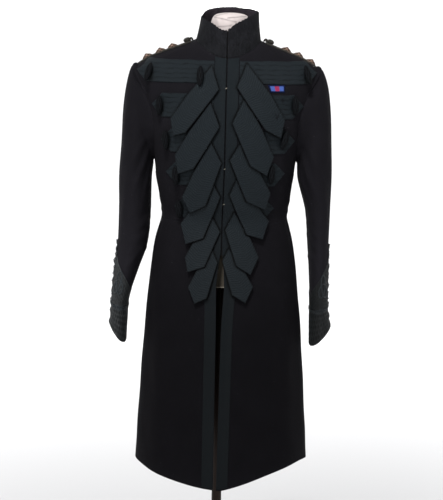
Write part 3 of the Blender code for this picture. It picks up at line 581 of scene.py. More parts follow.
def eased(count, power=1.6):
    """Shares from 0 to 1 that lie closer together near both ends."""
    t = np.linspace(-1, 1, count)
    return 0.5 + 0.5 * np.sign(t) * (1 - (1 - np.abs(t)) ** power)


# ---------------------------------------------------------------- node helpers

def scaled(color, factor):
    """A colour made darker or lighter."""
    return tuple(min(1.0, c * factor) for c in color[:3])


class Net:
    """A node tree wired by short calls. A name it lacks is the operation of a Math node."""

    def __init__(self, tree):
        self.tree = tree

    def node(self, kind, values=None, **settings):
        """Adds a node; values gives its inputs by name or place, each a constant or a socket."""
        made = self.tree.nodes.new(kind)
        made.location = (220 * len(self.tree.nodes), 0)
        for key, value in settings.items():
            setattr(made, key, value)
        for key, value in (values or {}).items():
            if isinstance(value, bpy.types.NodeSocket):
                self.tree.links.new(value, made.inputs[key])
            else:
                made.inputs[key].default_value = value
        return made

    def __getattr__(self, operation):
        return lambda *values: self.node("ShaderNodeMath", dict(enumerate(values)),
                                         operation=operation.upper()).outputs[0]

    def noise(self, place, scale, detail=2.0, roughness=0.5, distortion=0.0):
        return self.node("ShaderNodeTexNoise", {
            "Vector": place, "Scale": scale, "Detail": detail, "Roughness": roughness,
            "Distortion": distortion}).outputs["Fac"]

    def stretched(self, place, *scale):
        return self.node("ShaderNodeMapping", {"Vector": place, "Scale": scale}).outputs[0]

    def split(self, place):
        return self.node("ShaderNodeSeparateXYZ", {0: place}).outputs[:3]

    def edge(self):
        """The mesh's edge attribute."""
        return self.node("ShaderNodeAttribute", attribute_name="edge").outputs["Fac"]

    def blend(self, first, share, second):
        """A share of one value and the rest of another."""
        return self.add(self.multiply(first, share), self.multiply(second, 1 - share))

    def ramp(self, value, low, high, to_low, to_high):
        """A smooth S from to_low to to_high as the value goes from low to high."""
        return self.node("ShaderNodeMapRange", {
            "Value": value, "From Min": low, "From Max": high, "To Min": to_low,
            "To Max": to_high}, interpolation_type="SMOOTHSTEP").outputs[0]

    def mix(self, factor, *colors):
        """A colour between two, each a socket or a plain colour."""
        first, second = (color if isinstance(color, bpy.types.NodeSocket) else (*color[:3], 1.0)
                         for color in colors)
        return self.node("ShaderNodeMix", {0: factor, 6: first, 7: second},
                         data_type="RGBA").outputs[2]

    def tones(self, factor, color, dark, light):
        """From a darker to a lighter tone of one colour."""
        return self.mix(factor, scaled(color, dark), scaled(color, light))

    def effect(self, name, **values):
        """The outputs of a shared group, which is built the first time it is asked for."""
        found = bpy.data.node_groups.get(name) or built_group(name)
        return self.node("ShaderNodeGroup", values, node_tree=found).outputs


FLOAT, VECTOR, COLOR = "NodeSocketFloat", "NodeSocketVector", "NodeSocketColor"
GROUPS = {}


def shared(name, inputs, *outputs):
    """Declares a shared group: its function takes a net and the inputs and gives the outputs."""
    def declare(wire):
        GROUPS[name] = inputs, outputs, wire
        return wire
    return declare


def built_group(name):
    """Builds a declared group; an input given as a number is a float with that default."""
    inputs, outputs, wire = GROUPS[name]
    tree = bpy.data.node_groups.new(name, "ShaderNodeTree")
    for label, value in inputs.items():
        kind = value if isinstance(value, str) else FLOAT
        socket = tree.interface.new_socket(label, in_out="INPUT", socket_type=kind)
        if kind == FLOAT:
            socket.default_value = value
    for label in outputs:
        tree.interface.new_socket(label, in_out="OUTPUT",
                                  socket_type=COLOR if label == "Color" else FLOAT)
    given, result = tree.nodes.new("NodeGroupInput"), tree.nodes.new("NodeGroupOutput")
    for number, socket in enumerate(wire(Net(tree), *given.outputs[:len(inputs)])):
        tree.links.new(socket, result.inputs[number])
    return tree


@shared("cloth_nap", {"Place": VECTOR, "Fibre": 0.0012, "Mottle": 0.05}, "Shade", "Height")
def nap_group(net, place, fibre, mottle):
    """Felted nap: fine fibres and broad mottling, from noise at two sizes."""
    fine = net.noise(place, net.divide(1.0, fibre), 3.0, 0.7)
    return net.blend(fine, 0.6, net.noise(place, net.divide(1.0, mottle))), fine


@shared("braid_twill", {"Place": VECTOR, "Pitch": 0.0022, "Slant": 1.0, "Stripe": 1.0},
        "Shade", "Height")
def twill_group(net, place, pitch, slant, stripe):
    """Braid twill: slanting ridges over the UV in metres, turned back at each stripe."""
    x, y, _ = net.split(place)
    phase = net.divide(net.add(net.multiply(net.pingpong(x, stripe), slant), y), pitch)
    phase = net.add(phase, net.multiply(net.noise(place, 160.0), 0.8))
    ridge = net.multiply_add(net.sine(net.multiply(phase, TAU)), 0.5, 0.5)
    return net.blend(ridge, 0.6, net.noise(place, 1100.0)), ridge


@shared("twisted_thread", {"Place": VECTOR, "Pitch": 0.003, "Strands": 3.0}, "Shade", "Height")
def thread_group(net, place, pitch, strands):
    """Twisted threads on a cord: a sine that winds round it, over UV of turn and length."""
    x, y, _ = net.split(place)
    phase = net.add(net.divide(y, pitch), net.multiply(x, strands))
    ridge = net.absolute(net.sine(net.multiply(phase, math.pi)))
    return ridge, ridge


@shared("edge_wear_and_shade", {"Place": VECTOR, "Amount": 0.5}, "Mask")
def wear_and_shade_group(net, place, amount):
    """Rubbed edges and painted shade: the mesh's edge attribute, broken up by noise. On the wool
    and the collar it marks rubbed edges; on the bands, leaves and front strips it holds painted
    contact shade; on the neck cover, painted shade along its folds; on the sleeve braid it makes
    the edges and raised loops lighter.
    """
    return [net.multiply(net.multiply(net.edge(), net.noise(place, 140.0, 4.0)), amount)]


@shared("lint", {"Place": VECTOR, "Spacing": 0.012}, "Mask")
def lint_group(net, place, spacing):
    """Specks of lint: the middles of scattered Voronoi cells, most of them left out."""
    cells = net.node("ShaderNodeTexVoronoi", {
        "Vector": place, "Scale": net.divide(1.0, spacing)}).outputs
    red = net.node("ShaderNodeSeparateColor", {0: cells["Color"]}).outputs[0]
    return [net.multiply(net.less_than(cells["Distance"], 0.055), net.greater_than(red, 0.72))]


@shared("painted_light_falloff", {"Place": VECTOR, "Color": COLOR, "Low": 0.5}, "Color")
def painted_light_group(net, place, color, low):
    """Painted light falloff: a colour keeps its lightness high up and goes to low below, as painted
    shade where low is under 1 and painted light where it is over 1.
    """
    share = net.ramp(net.split(place)[2], 0.72, 1.34, low, 1.0)
    return [net.node("ShaderNodeVectorMath", {0: color, "Scale": share},
                     operation="SCALE").outputs[0]]


class Finish(Net):
    """The net of a new material, with its shader's constant sockets set."""

    def __init__(self, name, roughness, sheen=0.0, sheen_roughness=0.5, tint=(1, 1, 1),
                 metallic=0.0, specular=0.5):
        self.made = bpy.data.materials.new(name)
        self.made.use_nodes = True
        super().__init__(self.made.node_tree)
        self.shader = self.tree.nodes["Principled BSDF"]
        self.set_shader({
            "Roughness": roughness, "Metallic": metallic, "Specular IOR Level": specular,
            "Sheen Weight": sheen, "Sheen Roughness": sheen_roughness, "Sheen Tint": (*tint, 1.0)})

    def set_shader(self, values):
        for label, value in values.items():
            self.shader.inputs[label].default_value = value

    def body(self):
        """The object's own coordinates."""
        return self.node("ShaderNodeTexCoord").outputs["Object"]

    def uv(self):
        """The piece's own UV, in metres."""
        return self.node("ShaderNodeUVMap", uv_map="weave").outputs[0]

    def done(self, base, height=None, distance=0.0, strength=1.0):
        """Feeds the colour, and a height through a Bump node; returns the material."""
        self.tree.links.new(base, self.shader.inputs["Base Color"])
        if height is not None:
            bump = self.node("ShaderNodeBump", {"Height": height, "Distance": distance,
                                                "Strength": strength})
            self.tree.links.new(bump.outputs[0], self.shader.inputs["Normal"])
        return self.made


def material(make):
    """Has a material made only the first time that its name is asked for."""
    return lambda name, *values: bpy.data.materials.get(name) or make(name, *values)


@material
def wool_material(name, color, low):
    """Milled wool: nap in its colour and bump, rubbed edges, a few specks of lint, and a painted
    light falloff down the coat.
    """
    net = Finish(name, 0.92, 0.012, 0.45, (0.80, 0.76, 0.86), specular=0.03)
    place = net.body()
    nap = net.effect("cloth_nap", Place=place, Fibre=0.0014, Mottle=0.06)
    edge_mask = net.effect("edge_wear_and_shade", Place=place, Amount=0.5)
    lint = net.effect("lint", Place=place, Spacing=0.016)
    base = net.mix(edge_mask["Mask"], net.tones(nap["Shade"], color, 0.55, 1.5), scaled(color, 2.2))
    base = net.mix(lint["Mask"], base, scaled(color, 6.0))
    # painted shade or light: the colour goes towards low lower down the coat
    falloff = net.effect("painted_light_falloff", Place=place, Color=base, Low=low)
    return net.done(falloff["Color"], nap["Height"], 0.0005, 0.7)


@material
def lining_material(name, color):
    """Twilled lining: a fine slanting weave with a low gloss."""
    net = Finish(name, 0.6, 0.0, 0.4, specular=0.08)
    twill = net.effect("braid_twill", Place=net.uv(), Pitch=0.0016, Slant=0.8)
    return net.done(net.tones(twill["Shade"], color, 0.6, 1.4), twill["Height"], 0.0002)


@material
def braid_material(name, color, pitch, slant, stripe, contrast, edges, amount, low):
    """Mohair braid: twill ridges over the UV, a soft nap on them, edges of another tone, and a
    painted light falloff down the coat. On the bands, leaves and front strips the edge tone is
    dark, as painted contact shade; on the sleeve braid it is lighter.
    """
    net = Finish(name, 0.66, 0.015, 0.4, (0.80, 0.92, 0.95), specular=0.07)
    body = net.body()
    twill = net.effect("braid_twill", Place=net.uv(), Pitch=pitch, Slant=slant, Stripe=stripe)
    nap = net.effect("cloth_nap", Place=body, Fibre=0.0011, Mottle=0.035)
    edge_mask = net.effect("edge_wear_and_shade", Place=body, Amount=amount)
    base = net.tones(twill["Shade"], color, 1 - contrast, 1 + contrast)
    base = net.mix(nap["Shade"], scaled(color, 0.72), base)
    # the edge mask: painted contact shade on the chest braid; lighter edges and raised loops on the
    # sleeve braid
    base = net.mix(edge_mask["Mask"], base, scaled(color, edges))
    # painted shade: the colour darkens towards low lower down the coat
    falloff = net.effect("painted_light_falloff", Place=body, Color=base, Low=low)
    height = net.add(twill["Height"], net.multiply(nap["Height"], 0.5))
    return net.done(falloff["Color"], height, 0.0004)


@material
def cord_material(name, color, glint, pitch, strands):
    """Twisted cord: winding threads, with painted glints: the tops of some threads are painted in a
    brighter colour as highlights.
    """
    net = Finish(name, 0.5, 0.05, 0.4, specular=0.2)
    thread = net.effect("twisted_thread", Place=net.uv(), Pitch=pitch, Strands=strands)
    nap = net.effect("cloth_nap", Place=net.body(), Fibre=0.0016, Mottle=0.012)
    # painted highlights: scattered thread tops take the glint colour
    glint_mask = net.multiply(net.greater_than(nap["Shade"], 0.56), 0.5)
    base = net.tones(thread["Shade"], color, 0.45, 1.35)
    return net.done(net.mix(net.multiply(glint_mask, thread["Shade"]), base, glint),
                    thread["Height"], 0.0006)


@material
def collar_material(name, color):
    """Crimped braid cloth of the collar: small curls, from noise bent over itself."""
    net = Finish(name, 0.85, 0.015, 0.45, (0.86, 0.90, 0.92), specular=0.06)
    body = net.body()
    wave = net.noise(net.stretched(net.uv(), 1.5, 0.8, 1.0), 130.0, 3.0, 0.65, 1.6)
    nap = net.effect("cloth_nap", Place=body, Fibre=0.0022, Mottle=0.02)
    edge_mask = net.effect("edge_wear_and_shade", Place=body, Amount=0.6)
    shade = net.subtract(net.blend(wave, 0.45, nap["Shade"]), 0.5)
    base = net.tones(net.multiply_add(shade, 3.4, 0.5), color, 0.3, 1.7)
    return net.done(net.mix(edge_mask["Mask"], base, scaled(color, 2.2)),
                    net.add(wave, nap["Height"]), 0.0007)


@material
def olivet_material(name, color, thread_color):
    """Netted toggle: the net attribute lifts brighter threads over a dark core."""
    net = Finish(name, 0.75, 0.005, 0.4, (0.9, 0.84, 0.92), specular=0.05)
    nap = net.effect("cloth_nap", Place=net.body(), Fibre=0.0009, Mottle=0.01)
    base = net.mix(net.edge(), scaled(color, 0.8), thread_color)
    return net.done(net.mix(nap["Shade"], scaled(color, 0.6), base), nap["Height"], 0.0003)


@material
def ribbon_material(name, side_color, middle_color, border_color):
    """Watered ribbon: three stripes across the UV, fine ribs, and a dark woven border."""
    net = Finish(name, 0.65, 0.0, 0.4, specular=0.08)
    u, v, _ = net.split(net.uv())
    off_u, off_v = (net.absolute(net.subtract(way, 0.5)) for way in (u, v))
    border = net.maximum(net.greater_than(off_u, 0.41), net.greater_than(off_v, 0.31))
    ribs = net.multiply_add(net.sine(net.multiply(u, 300.0)), 0.5, 0.5)
    base = net.mix(net.less_than(off_u, 0.14), side_color, middle_color)
    base = net.mix(net.multiply(ribs, 0.35), base, scaled(side_color, 0.6))
    return net.done(net.mix(border, base, border_color), ribs, 0.0002)


@material
def linen_material(name, color, pitch, contrast):
    """Plain weave: two crossed sines of the object's coordinates, over a soft mottling, with
    painted fold shade where the edge attribute marks folds.
    """
    net = Finish(name, 0.9, 0.15, 0.5, specular=0.2)
    place = net.body()
    x, _, z = net.split(place)
    warp, weft = (net.sine(net.multiply(way, TAU / pitch)) for way in (x, z))
    weave = net.multiply_add(net.multiply(warp, weft), 0.5, 0.5)
    nap = net.effect("cloth_nap", Place=place, Fibre=0.002, Mottle=0.03)
    shade = net.blend(weave, 0.35, nap["Shade"])
    # painted shade along folds, from the edge attribute
    fold_shade = net.effect("edge_wear_and_shade", Place=place, Amount=1.5)
    base = net.tones(shade, color, 1 - contrast, 1 + contrast)
    return net.done(net.mix(fold_shade["Mask"], base, scaled(color, 0.4)), shade, 0.0004)


@material
def wood_material(name, color):
    """Dark turned stand: grain along Z with worn patches that are duller."""
    net = Finish(name, 0.6, specular=0.10)
    place = net.body()
    grain = net.noise(net.stretched(place, 26.0, 26.0, 2.2), 4.0, 6.0, distortion=0.6)
    patch = net.effect("cloth_nap", Place=place, Fibre=0.004, Mottle=0.08)
    net.tree.links.new(net.multiply_add(patch["Shade"], 0.3, 0.28), net.shader.inputs["Roughness"])
    return net.done(net.tones(grain, color, 0.55, 1.7), grain, 0.0003)


@material
def metal_material(name, color):
    """Lacquered hooks: metal with its lacquer rubbed through in patches."""
    net = Finish(name, 0.35, metallic=1.0)
    patch = net.effect("cloth_nap", Place=net.body(), Fibre=0.0015, Mottle=0.006)
    return net.done(net.tones(patch["Shade"], color, 0.5, 1.6))


# ---------------------------------------------------------------- settings

def tint(name, description, *default):
    return FloatVectorProperty(name=name, description=description, subtype="COLOR",
                               default=default)


def measure(name, description, default):
    return FloatProperty(name=name, description=description, default=default * MM,
                         subtype="DISTANCE", unit="LENGTH")


class CoatColors(bpy.types.PropertyGroup):
    """Colours of the coat's finishes."""
    wool: tint("Wool", "Milled wool of the coat", 0.0070, 0.0066, 0.0082)
    braid: tint("Braid", "Mohair braid of bands, leaves and strips", 0.0093, 0.0127, 0.0154)
    collar: tint("Collar", "Crimped cloth of the collar", 0.0080, 0.0083, 0.0098)
    cord: tint("Shoulder cord", "Dark threads of the cords", 0.017, 0.017, 0.0135)
    # the cords' glint colour: painted highlights on the plaited cord, and the net threads of the
    # knots
    copper: tint("Cord glint", "Bright threads of the cords", 0.50, 0.33, 0.26)
    linen: tint("Form", "Cover of the form", 0.066, 0.056, 0.042)
    neck: tint("Neck", "Cover of the form's neck", 0.58, 0.515, 0.50)
    stand: tint("Stand", "Polish of the pole and the base", 0.0145, 0.0090, 0.0066)
    ribbon: tint("Ribbon sides", "Outer stripes of the ribbon", 0.055, 0.10, 0.33)
    ribbon_middle: tint("Ribbon middle", "Middle stripe", 0.31, 0.018, 0.05)
    floor: tint("Floor", "Paper under and behind the coat", 0.97, 0.97, 0.98)


class CoatSizes(bpy.types.PropertyGroup):
    """Sizes of the coat's surface detail."""
    cloth: measure("Cloth", "Thickness of the wool", 2.2)
    rib: measure("Rib", "How far a rib of the wide braid stands up", 0.8)
    twill: measure("Twill", "Distance between ridges of the braid's twill", 5.4)
    tracing: measure("Tracing", "Radius of the tracing cord on the sleeves", 1.35)
    strip: measure("Front strip", "Width of the braid on the front edges", 26)
    stitch: measure("Stitch", "Length of one sewing stitch", 3.2)


def wool(context, name="milled_wool"):
    """The wool's material: the body's and skirts' is painted darker below as shade, and the
    sleeves' is painted lighter below as light.
    """
    # low: painted shade under 1, painted light over 1, at the bottom of the falloff
    low = 0.45 if name == "milled_wool" else 1.5
    return wool_material(name, context.scene.coat_colors.wool, low)


def lining(context, name="coat_lining", light=0.9):
    """The lining's material, or a facing's, which is painted darker as shade."""
    return lining_material(name, scaled(context.scene.coat_colors.wool, light))


def braid(context, kind):
    """The braid's material: 'band' is ribbed, 'leaf' a plain twill, 'strip' a herringbone."""
    color, size = context.scene.coat_colors.braid, context.scene.coat_sizes
    light, pitch, *rest = {
        # kind  lightness  pitch  slant stripe contrast  edges: tone amount  low
        # edges on band, leaf and strip: a dark tone for painted contact shade; low: painted shade
        # lower down the coat
        "band": (1.10, size.twill * 0.5, 0.7, 1.0, 0.40, 0.10, 2.0, 0.8),
        "leaf": (1.04, size.twill, 0.35, 1.0, 0.40, 0.06, 2.0, 0.66),
        "strip": (0.9, size.twill * 0.6, 1.3, size.strip / 2, 0.35, 0.06, 2.0, 0.42),
        "sleeve": (0.95, size.twill * 0.4, 0.8, 0.006, 0.75, 7.0, 0.70, 1.0),
        "sleeve_left": (0.60, size.twill * 0.4, 0.8, 0.006, 0.50, 5.5, 0.50, 1.0),
    }[kind]
    if kind.startswith("sleeve"):
        color = (color[0] * 1.25, color[1] * 0.98, color[2] * 0.84)
    return braid_material(f"mohair_{kind}", scaled(color, light), pitch, *rest)


# ---------------------------------------------------------------- operators

class Piece:
    """What the operators share."""
    bl_options = {"REGISTER", "UNDO"}


SIDES = ((-1, "right"), (1, "left"))
FACING = ("coat_facing", 0.25)          # a facing's material, painted dark as shade in the slits, and its lightness beside the wool


class COAT_OT_body(Piece, bpy.types.Operator):
    """Fronts, backs and skirts: grids of angle and level on the creased rings, with a wall"""
    bl_idname = "coat.body"
    bl_label = "Body and Skirts"

    def panel(self, context, name, angle, level, side, held, rests_on, relief=0.0):
        skin, out = body_skin(side * angle, level)
        skin = skin + out * np.broadcast_to(relief, angle.shape)[..., None]
        inner = skin - out * context.scene.coat_sizes.cloth
        share = np.linspace(0, 1, angle.shape[1])[None, :]
        rows = np.linspace(0, 1, angle.shape[0])[:, None]
        edge = np.exp(-60 * np.minimum(np.minimum(share, 1 - share), np.minimum(rows, 1 - rows)))
        finishes = [wool(context), lining(context)]
        piece = slab(f"wool_{name}", skin, inner, finishes, edge=np.broadcast_to(edge, angle.shape))
        as_cloth(piece, name, skin)

    def front(self, context, side, word):
        """From the front edge to the side seam, round the armhole, up to the shoulder seam."""
        level = panel_levels(44, 40, 18)
        edge = side * angle_at(front_edge(level, side), level)
        seam = math.pi / 2 - armhole_half(level) - 0.0018
        angle = edge + (seam - edge) * eased(56, 1.15)[None, :]
        self.panel(context, f"front_{word}", angle, level, side, "stretched", ["form_torso"])

    def back(self, context, side, word):
        """From the side seam to the centre back; its columns close up on the side-body seam."""
        level = panel_levels(44, 40, 18)
        seam = math.pi / 2 + armhole_half(level) + 0.0010
        centre = math.pi - 0.0016
        curve = np.interp(level, [WAIST, 6.5, ARMPIT, 9.5, 10.8, NECK],
                          [0.74, 0.66, 0.50, 0.27, 0.05, 0.05])
        away = np.concatenate([np.linspace(-1, -0.04, 26), [-0.016, -0.006, 0, 0.006, 0.016],
                               np.linspace(0.04, 1, 28)])[None, :]
        share = np.where(away < 0, curve * (1 + away), curve + (1 - curve) * away)
        angle = seam + (centre - seam) * share
        groove = -0.9 * MM * np.exp(-(away / 0.009) ** 2) * (1 - step(10.2, 10.8, level))
        self.panel(context, f"back_{word}", angle, level, side, "stretched", ["form_torso"], groove)

    def skirt(self, context, side, word):
        """From the front edge round to the centre back, with a pleat at the hip behind."""
        level = np.linspace(0, WAIST - 0.006, 77)[:, None]
        edge = side * angle_at(front_edge(level, side), level)
        end = math.pi - 0.0014
        pleat = 0.845
        away = np.concatenate([np.linspace(-1, -0.012, 104), [-0.006, -0.002, 0, 0.003, 0.008],
                               np.linspace(0.02, 1, 30)])[None, :]
        share = np.where(away < 0, pleat * (1 + away), pleat + (1 - pleat) * away)
        angle = edge + (end - edge) * share
        lap = np.where(away < 0, np.exp(away / 0.05), np.exp(-away / 0.30) - 1.0)
        lap = lap * 1.6 * MM * step(0.0, 0.5, level) * step(0.0, 0.3, WAIST - level)
        self.panel(context, f"skirt_{word}", angle, level, side, "hung",
                   [f"front_{word}", f"back_{word}"], lap)

    def execute(self, context):
        for side, word in SIDES:
            self.front(context, side, word)
            self.back(context, side, word)
            self.skirt(context, side, word)
        return {"FINISHED"}


class COAT_OT_sleeves(Piece, bpy.types.Operator):
    """Sleeves: grids of turn and level on the creased sleeve rows, open at the cuff"""
    bl_idname = "coat.sleeves"
    bl_label = "Sleeves"

    def execute(self, context):
        turn, last = np.linspace(0, TAU, 111)[None, :], LAST_SLEEVE_LEVEL
        level = np.concatenate([np.linspace(0, 1.0, 12)[:-1], np.linspace(1.0, last, 97)])[:, None]
        for side, word in SIDES:
            outer, out = sleeve_skin(side, turn, level)
            outer[:, -1], out[:, -1] = outer[:, 0], out[:, 0]
            inner = outer - out * (context.scene.coat_sizes.cloth - 0.2 * MM)
            edge = np.exp(-np.minimum(level, LAST_SLEEVE_LEVEL - level) * 6) + 0 * turn
            piece = slab(f"wool_sleeve_{word}", outer, inner,
                         [wool(context, "sleeve_wool"), lining(context)], edge=edge)
            as_cloth(piece, f"sleeve_{word}", outer)
            self.head(context, side, word)
        return {"FINISHED"}

    def head(self, context, side, word):
        """A sleeve's wadded head: a tube over the armhole's top that thins to its ends."""
        turn = np.linspace(-1.25, 1.25, 90)
        full = np.cos(turn * math.pi / 2.5).clip(0) ** 0.75
        path = sleeve_base(side, turn, 0.0)
        path[:, 0] -= side * 1.5 * MM * full
        path[:, 2] += 6.8 * MM * full - 1.0 * MM
        out = np.broadcast_to(unit(np.array((side * 0.4, 0.0, 0.9))), path.shape)
        roll = tube(path, 0.5 * MM + 8.2 * MM * full, out, around=28)
        piece = joined(f"sleeve_head_{word}", [roll], wool(context, "sleeve_wool"), corner=80)
        stands_for(piece)


class COAT_OT_collar(Piece, bpy.types.Operator):
    """Stand collar: the neck seam carried up and leant in, with a corded edge along its top"""
    bl_idname = "coat.collar"
    bl_label = "Collar"

    HEIGHT, LEAN, PROUD, GAP, OPEN, WALL = 0.062, 0.008, 0.6 * MM, 0.7 * MM, 0.026, 2.4 * MM
    SHIFT, RISE, SLIT = 0.0025, 0.007, -0.034
    RIM = np.array([
        # turn  rise, in degrees and millimetres
        (-180, 1.2), (-150, 2.2), (-133, 3.6), (-117, -1.0), (-90, -12.0), (-70, -11.5),
        (-52, -10.0), (-35, -4.6), (-21, -7.3), (-13, -6.5), (-5, -2.0), (4, 0.0), (14, 7.6),
        (33, 7.6), (47, 6.3), (74, 5.0), (90, 1.0), (107, 1.6), (125, 5.5), (162, 1.8), (180, 1.2),
    ])

    def place(self, angle, up, inwards=0.0):
        """A point at an angle round the neck, a share up the collar and a depth into its wall."""
        seam = body_point(angle, float(NECK))
        out = seam - (RINGS[NECK, X_MID], -0.004, 0.0)
        out[..., 2] = 0
        out = unit(out)
        turn = np.mod(angle - self.SLIT + math.pi, TAU) - math.pi
        trim = sum(np.interp(np.degrees(turn) + off, self.RIM[:, 0], self.RIM[:, 1])
                   for off in (-5, -2, 2, 5)) / 4
        turn = np.abs(turn)
        rise = (1 - np.exp(-(turn / 0.30) ** 2)) * np.clip((2.7 - turn) / 1.6, 0, 1)
        height = self.HEIGHT * (1 - 0.08 * (1 - np.cos(angle))) + self.RISE * rise + trim * MM
        lean = -self.LEAN * up * (1.5 - 0.5 * up)
        bulge = 0.6 * MM * np.sin(angle * 7 + 1.0) * up * np.sin(up * 2.6)
        bulge = bulge + 3.6 * MM * up * np.sin(2 * turn) ** 2 * step(1.4, 1.9, turn)
        point = seam + out * (lean + self.PROUD - inwards + bulge)[..., None]
        point[..., 0] += self.SHIFT * up * (1 - 1.16 * np.exp(-(turn / 0.6) ** 2))
        bumpy = 0.5 * np.sin(angle * 11) + 0.35 * np.sin(angle * 37 + 1) + 0.25 * np.sin(angle * 83)
        point[..., 2] += self.GAP + height * up + MM * bumpy * up ** 3
        return point, out

    def execute(self, context):
        angle = np.linspace(self.OPEN, TAU - self.OPEN, 241)[None, :] + self.SLIT
        up = np.concatenate([[0, 0.01, 0.03], np.linspace(0.06, 0.94, 22), [0.97, 0.99, 1]])
        up = up[:, None]
        outer, _ = self.place(angle, up)
        round_off = rounded(np.minimum(up, 1 - up), 0.03)
        turn = angle - self.SLIT
        slit = rounded(np.minimum(turn - self.OPEN, TAU - self.OPEN - turn), 0.02)
        depth = self.WALL * (0.35 + 0.65 * np.minimum(round_off, slit))
        inner, _ = self.place(angle, up, depth)
        edge = np.exp(-np.minimum((1 - up) * 26, slit * 4)) + 0 * angle
        color = context.scene.coat_colors.collar
        crimp = collar_material("collar_crimp", color)
        # painted light: the inner wall, which lies in shade, takes a lighter copy of the crimp's
        # colour
        inside = collar_material("collar_inside",
                                 (color[0] * 3.3, color[1] * 2.7, color[2] * 2.8))
        piece = slab("stand_collar", outer, inner, [crimp, inside], edge=edge)
        as_cloth(piece, "collar", outer)
        self.edging(crimp)
        self.underlap(context)
        return {"FINISHED"}

    def edging(self, crimp):
        """A thin cord in small waves along the collar's top: a sine of the angle, in height."""
        angle = np.linspace(self.OPEN, TAU - self.OPEN, 900) + self.SLIT
        place, out = self.place(angle, np.ones(900), 1.2 * MM)
        wave = np.sin(angle * 58)
        place[:, 2] += 0.2 * MM + 0.9 * MM * wave
        path = place + out * (0.7 * MM * np.cos(angle * 58))[:, None]
        grid = tube(path, 1.0 * MM, out, around=8)
        stands_for(joined("collar_edging", [grid], crimp))

    def underlap(self, context):
        """A tab behind the collar's front slit, painted dark as shade in the slit: the collar's own
        surface, drawn in by its wall.
        """
        angle = np.linspace(-0.11, 0.11, 25)[None, :] + self.SLIT
        up = np.linspace(0.015, 0.985, 40)[:, None]
        outer, _ = self.place(angle, up, self.WALL + 0.5 * MM)
        inner, _ = self.place(angle, up, self.WALL + 1.6 * MM)
        piece = slab("collar_underlap", outer, inner, lining(context, *FACING))
        as_cloth(piece, None, outer)


class COAT_OT_strips(Piece, bpy.types.Operator):
    """Front strips: flat braid along both front edges, from the neck to the hem, and stitches"""
    bl_idname = "coat.strips"
    bl_label = "Front Strips"

    LIFT, THICK, FROM_EDGE = 0.55 * MM, 1.1 * MM, 0.5 * MM

    def execute(self, context):
        size = context.scene.coat_sizes
        for side, word in SIDES:
            level = np.linspace(0.02, NECK - 0.25, 260)[:, None]
            share = eased(15, 2.0)[None, :]
            x = front_edge(level, side) + side * (self.FROM_EDGE + size.strip * share)
            angle = angle_at(x, level)
            skin, out = body_point(angle, level), body_normal(angle, level)
            border = np.minimum(share, 1 - share) * size.strip
            height = self.THICK * (0.12 + 0.88 * rounded(border, 1.2 * MM))
            length = arc_uv(skin)[..., 1]
            pucker = 0.22 * MM * np.sin(length * 420) * np.exp(-border / (3 * MM))
            under = skin + out * self.LIFT
            outer = under + out * (height + pucker)[..., None]
            uv = np.stack([np.broadcast_to(share * size.strip, length.shape), length], -1)
            # painted contact shade beside the leaves that lie over the strip
            edge = under_leaves(word, outer[..., 0], outer[..., 2])
            piece = slab(f"front_strip_{word}", outer, under, braid(context, "strip"), uv, edge)
            as_cloth(piece, f"edge_braid_{word}", outer)
            self.stitches(context, word, outer, out)
        self.facing(context)
        return {"FINISHED"}

    def facing(self, context):
        """Facings behind the closed front and the back seam, painted dark as shade in the slit and
        the seam: the body's surface drawn in.
        """
        level = np.linspace(3.75, NECK - 0.05, 120)[:, None]
        off = np.linspace(-7, 7, 9)[None, :] * MM
        middle = np.interp(level, FRONT_EDGES[:, 0], FRONT_EDGES[:, 1])
        for name, angle, rests_on in (
                ("front_facing", angle_at(middle + off, level), ["front_right", "front_left"]),
                ("back_seam_tape", math.pi + off * 8 + 0 * level, ["back_right", "back_left"])):
            skin, out = body_point(angle, level), body_normal(angle, level)
            outer = skin - out * 3.1 * MM
            piece = slab(name, outer, skin - out * 3.7 * MM, lining(context, *FACING))
            as_cloth(piece, None, outer)

    def stitches(self, context, word, outer, out):
        """Sewing stitches beside both borders: short bent threads, set at even lengths."""
        pitch = context.scene.coat_sizes.stitch * 2
        parts = []
        for column in (2, -3):
            line, normal = outer[:, column], out[:, column]
            run = run_of(line)
            starts = np.arange(pitch, run[-1] - pitch, pitch)
            share = np.linspace(0, 1, 4)
            at = starts[:, None] + share * pitch * 0.6
            points, normals = (np.stack([np.interp(at, run, rows[:, k]) for k in range(3)], -1)
                               for rows in (line, normal))
            sunk = (np.sin(share * math.pi) * 0.28 - 0.10) * MM
            points = points + normals * sunk[None, :, None]
            parts += [tube(path, 0.22 * MM, up, around=5) for path, up in zip(points, normals)]
        piece = joined(f"strip_stitches_{word}", parts, braid(context, "leaf"))
        stands_for(piece)


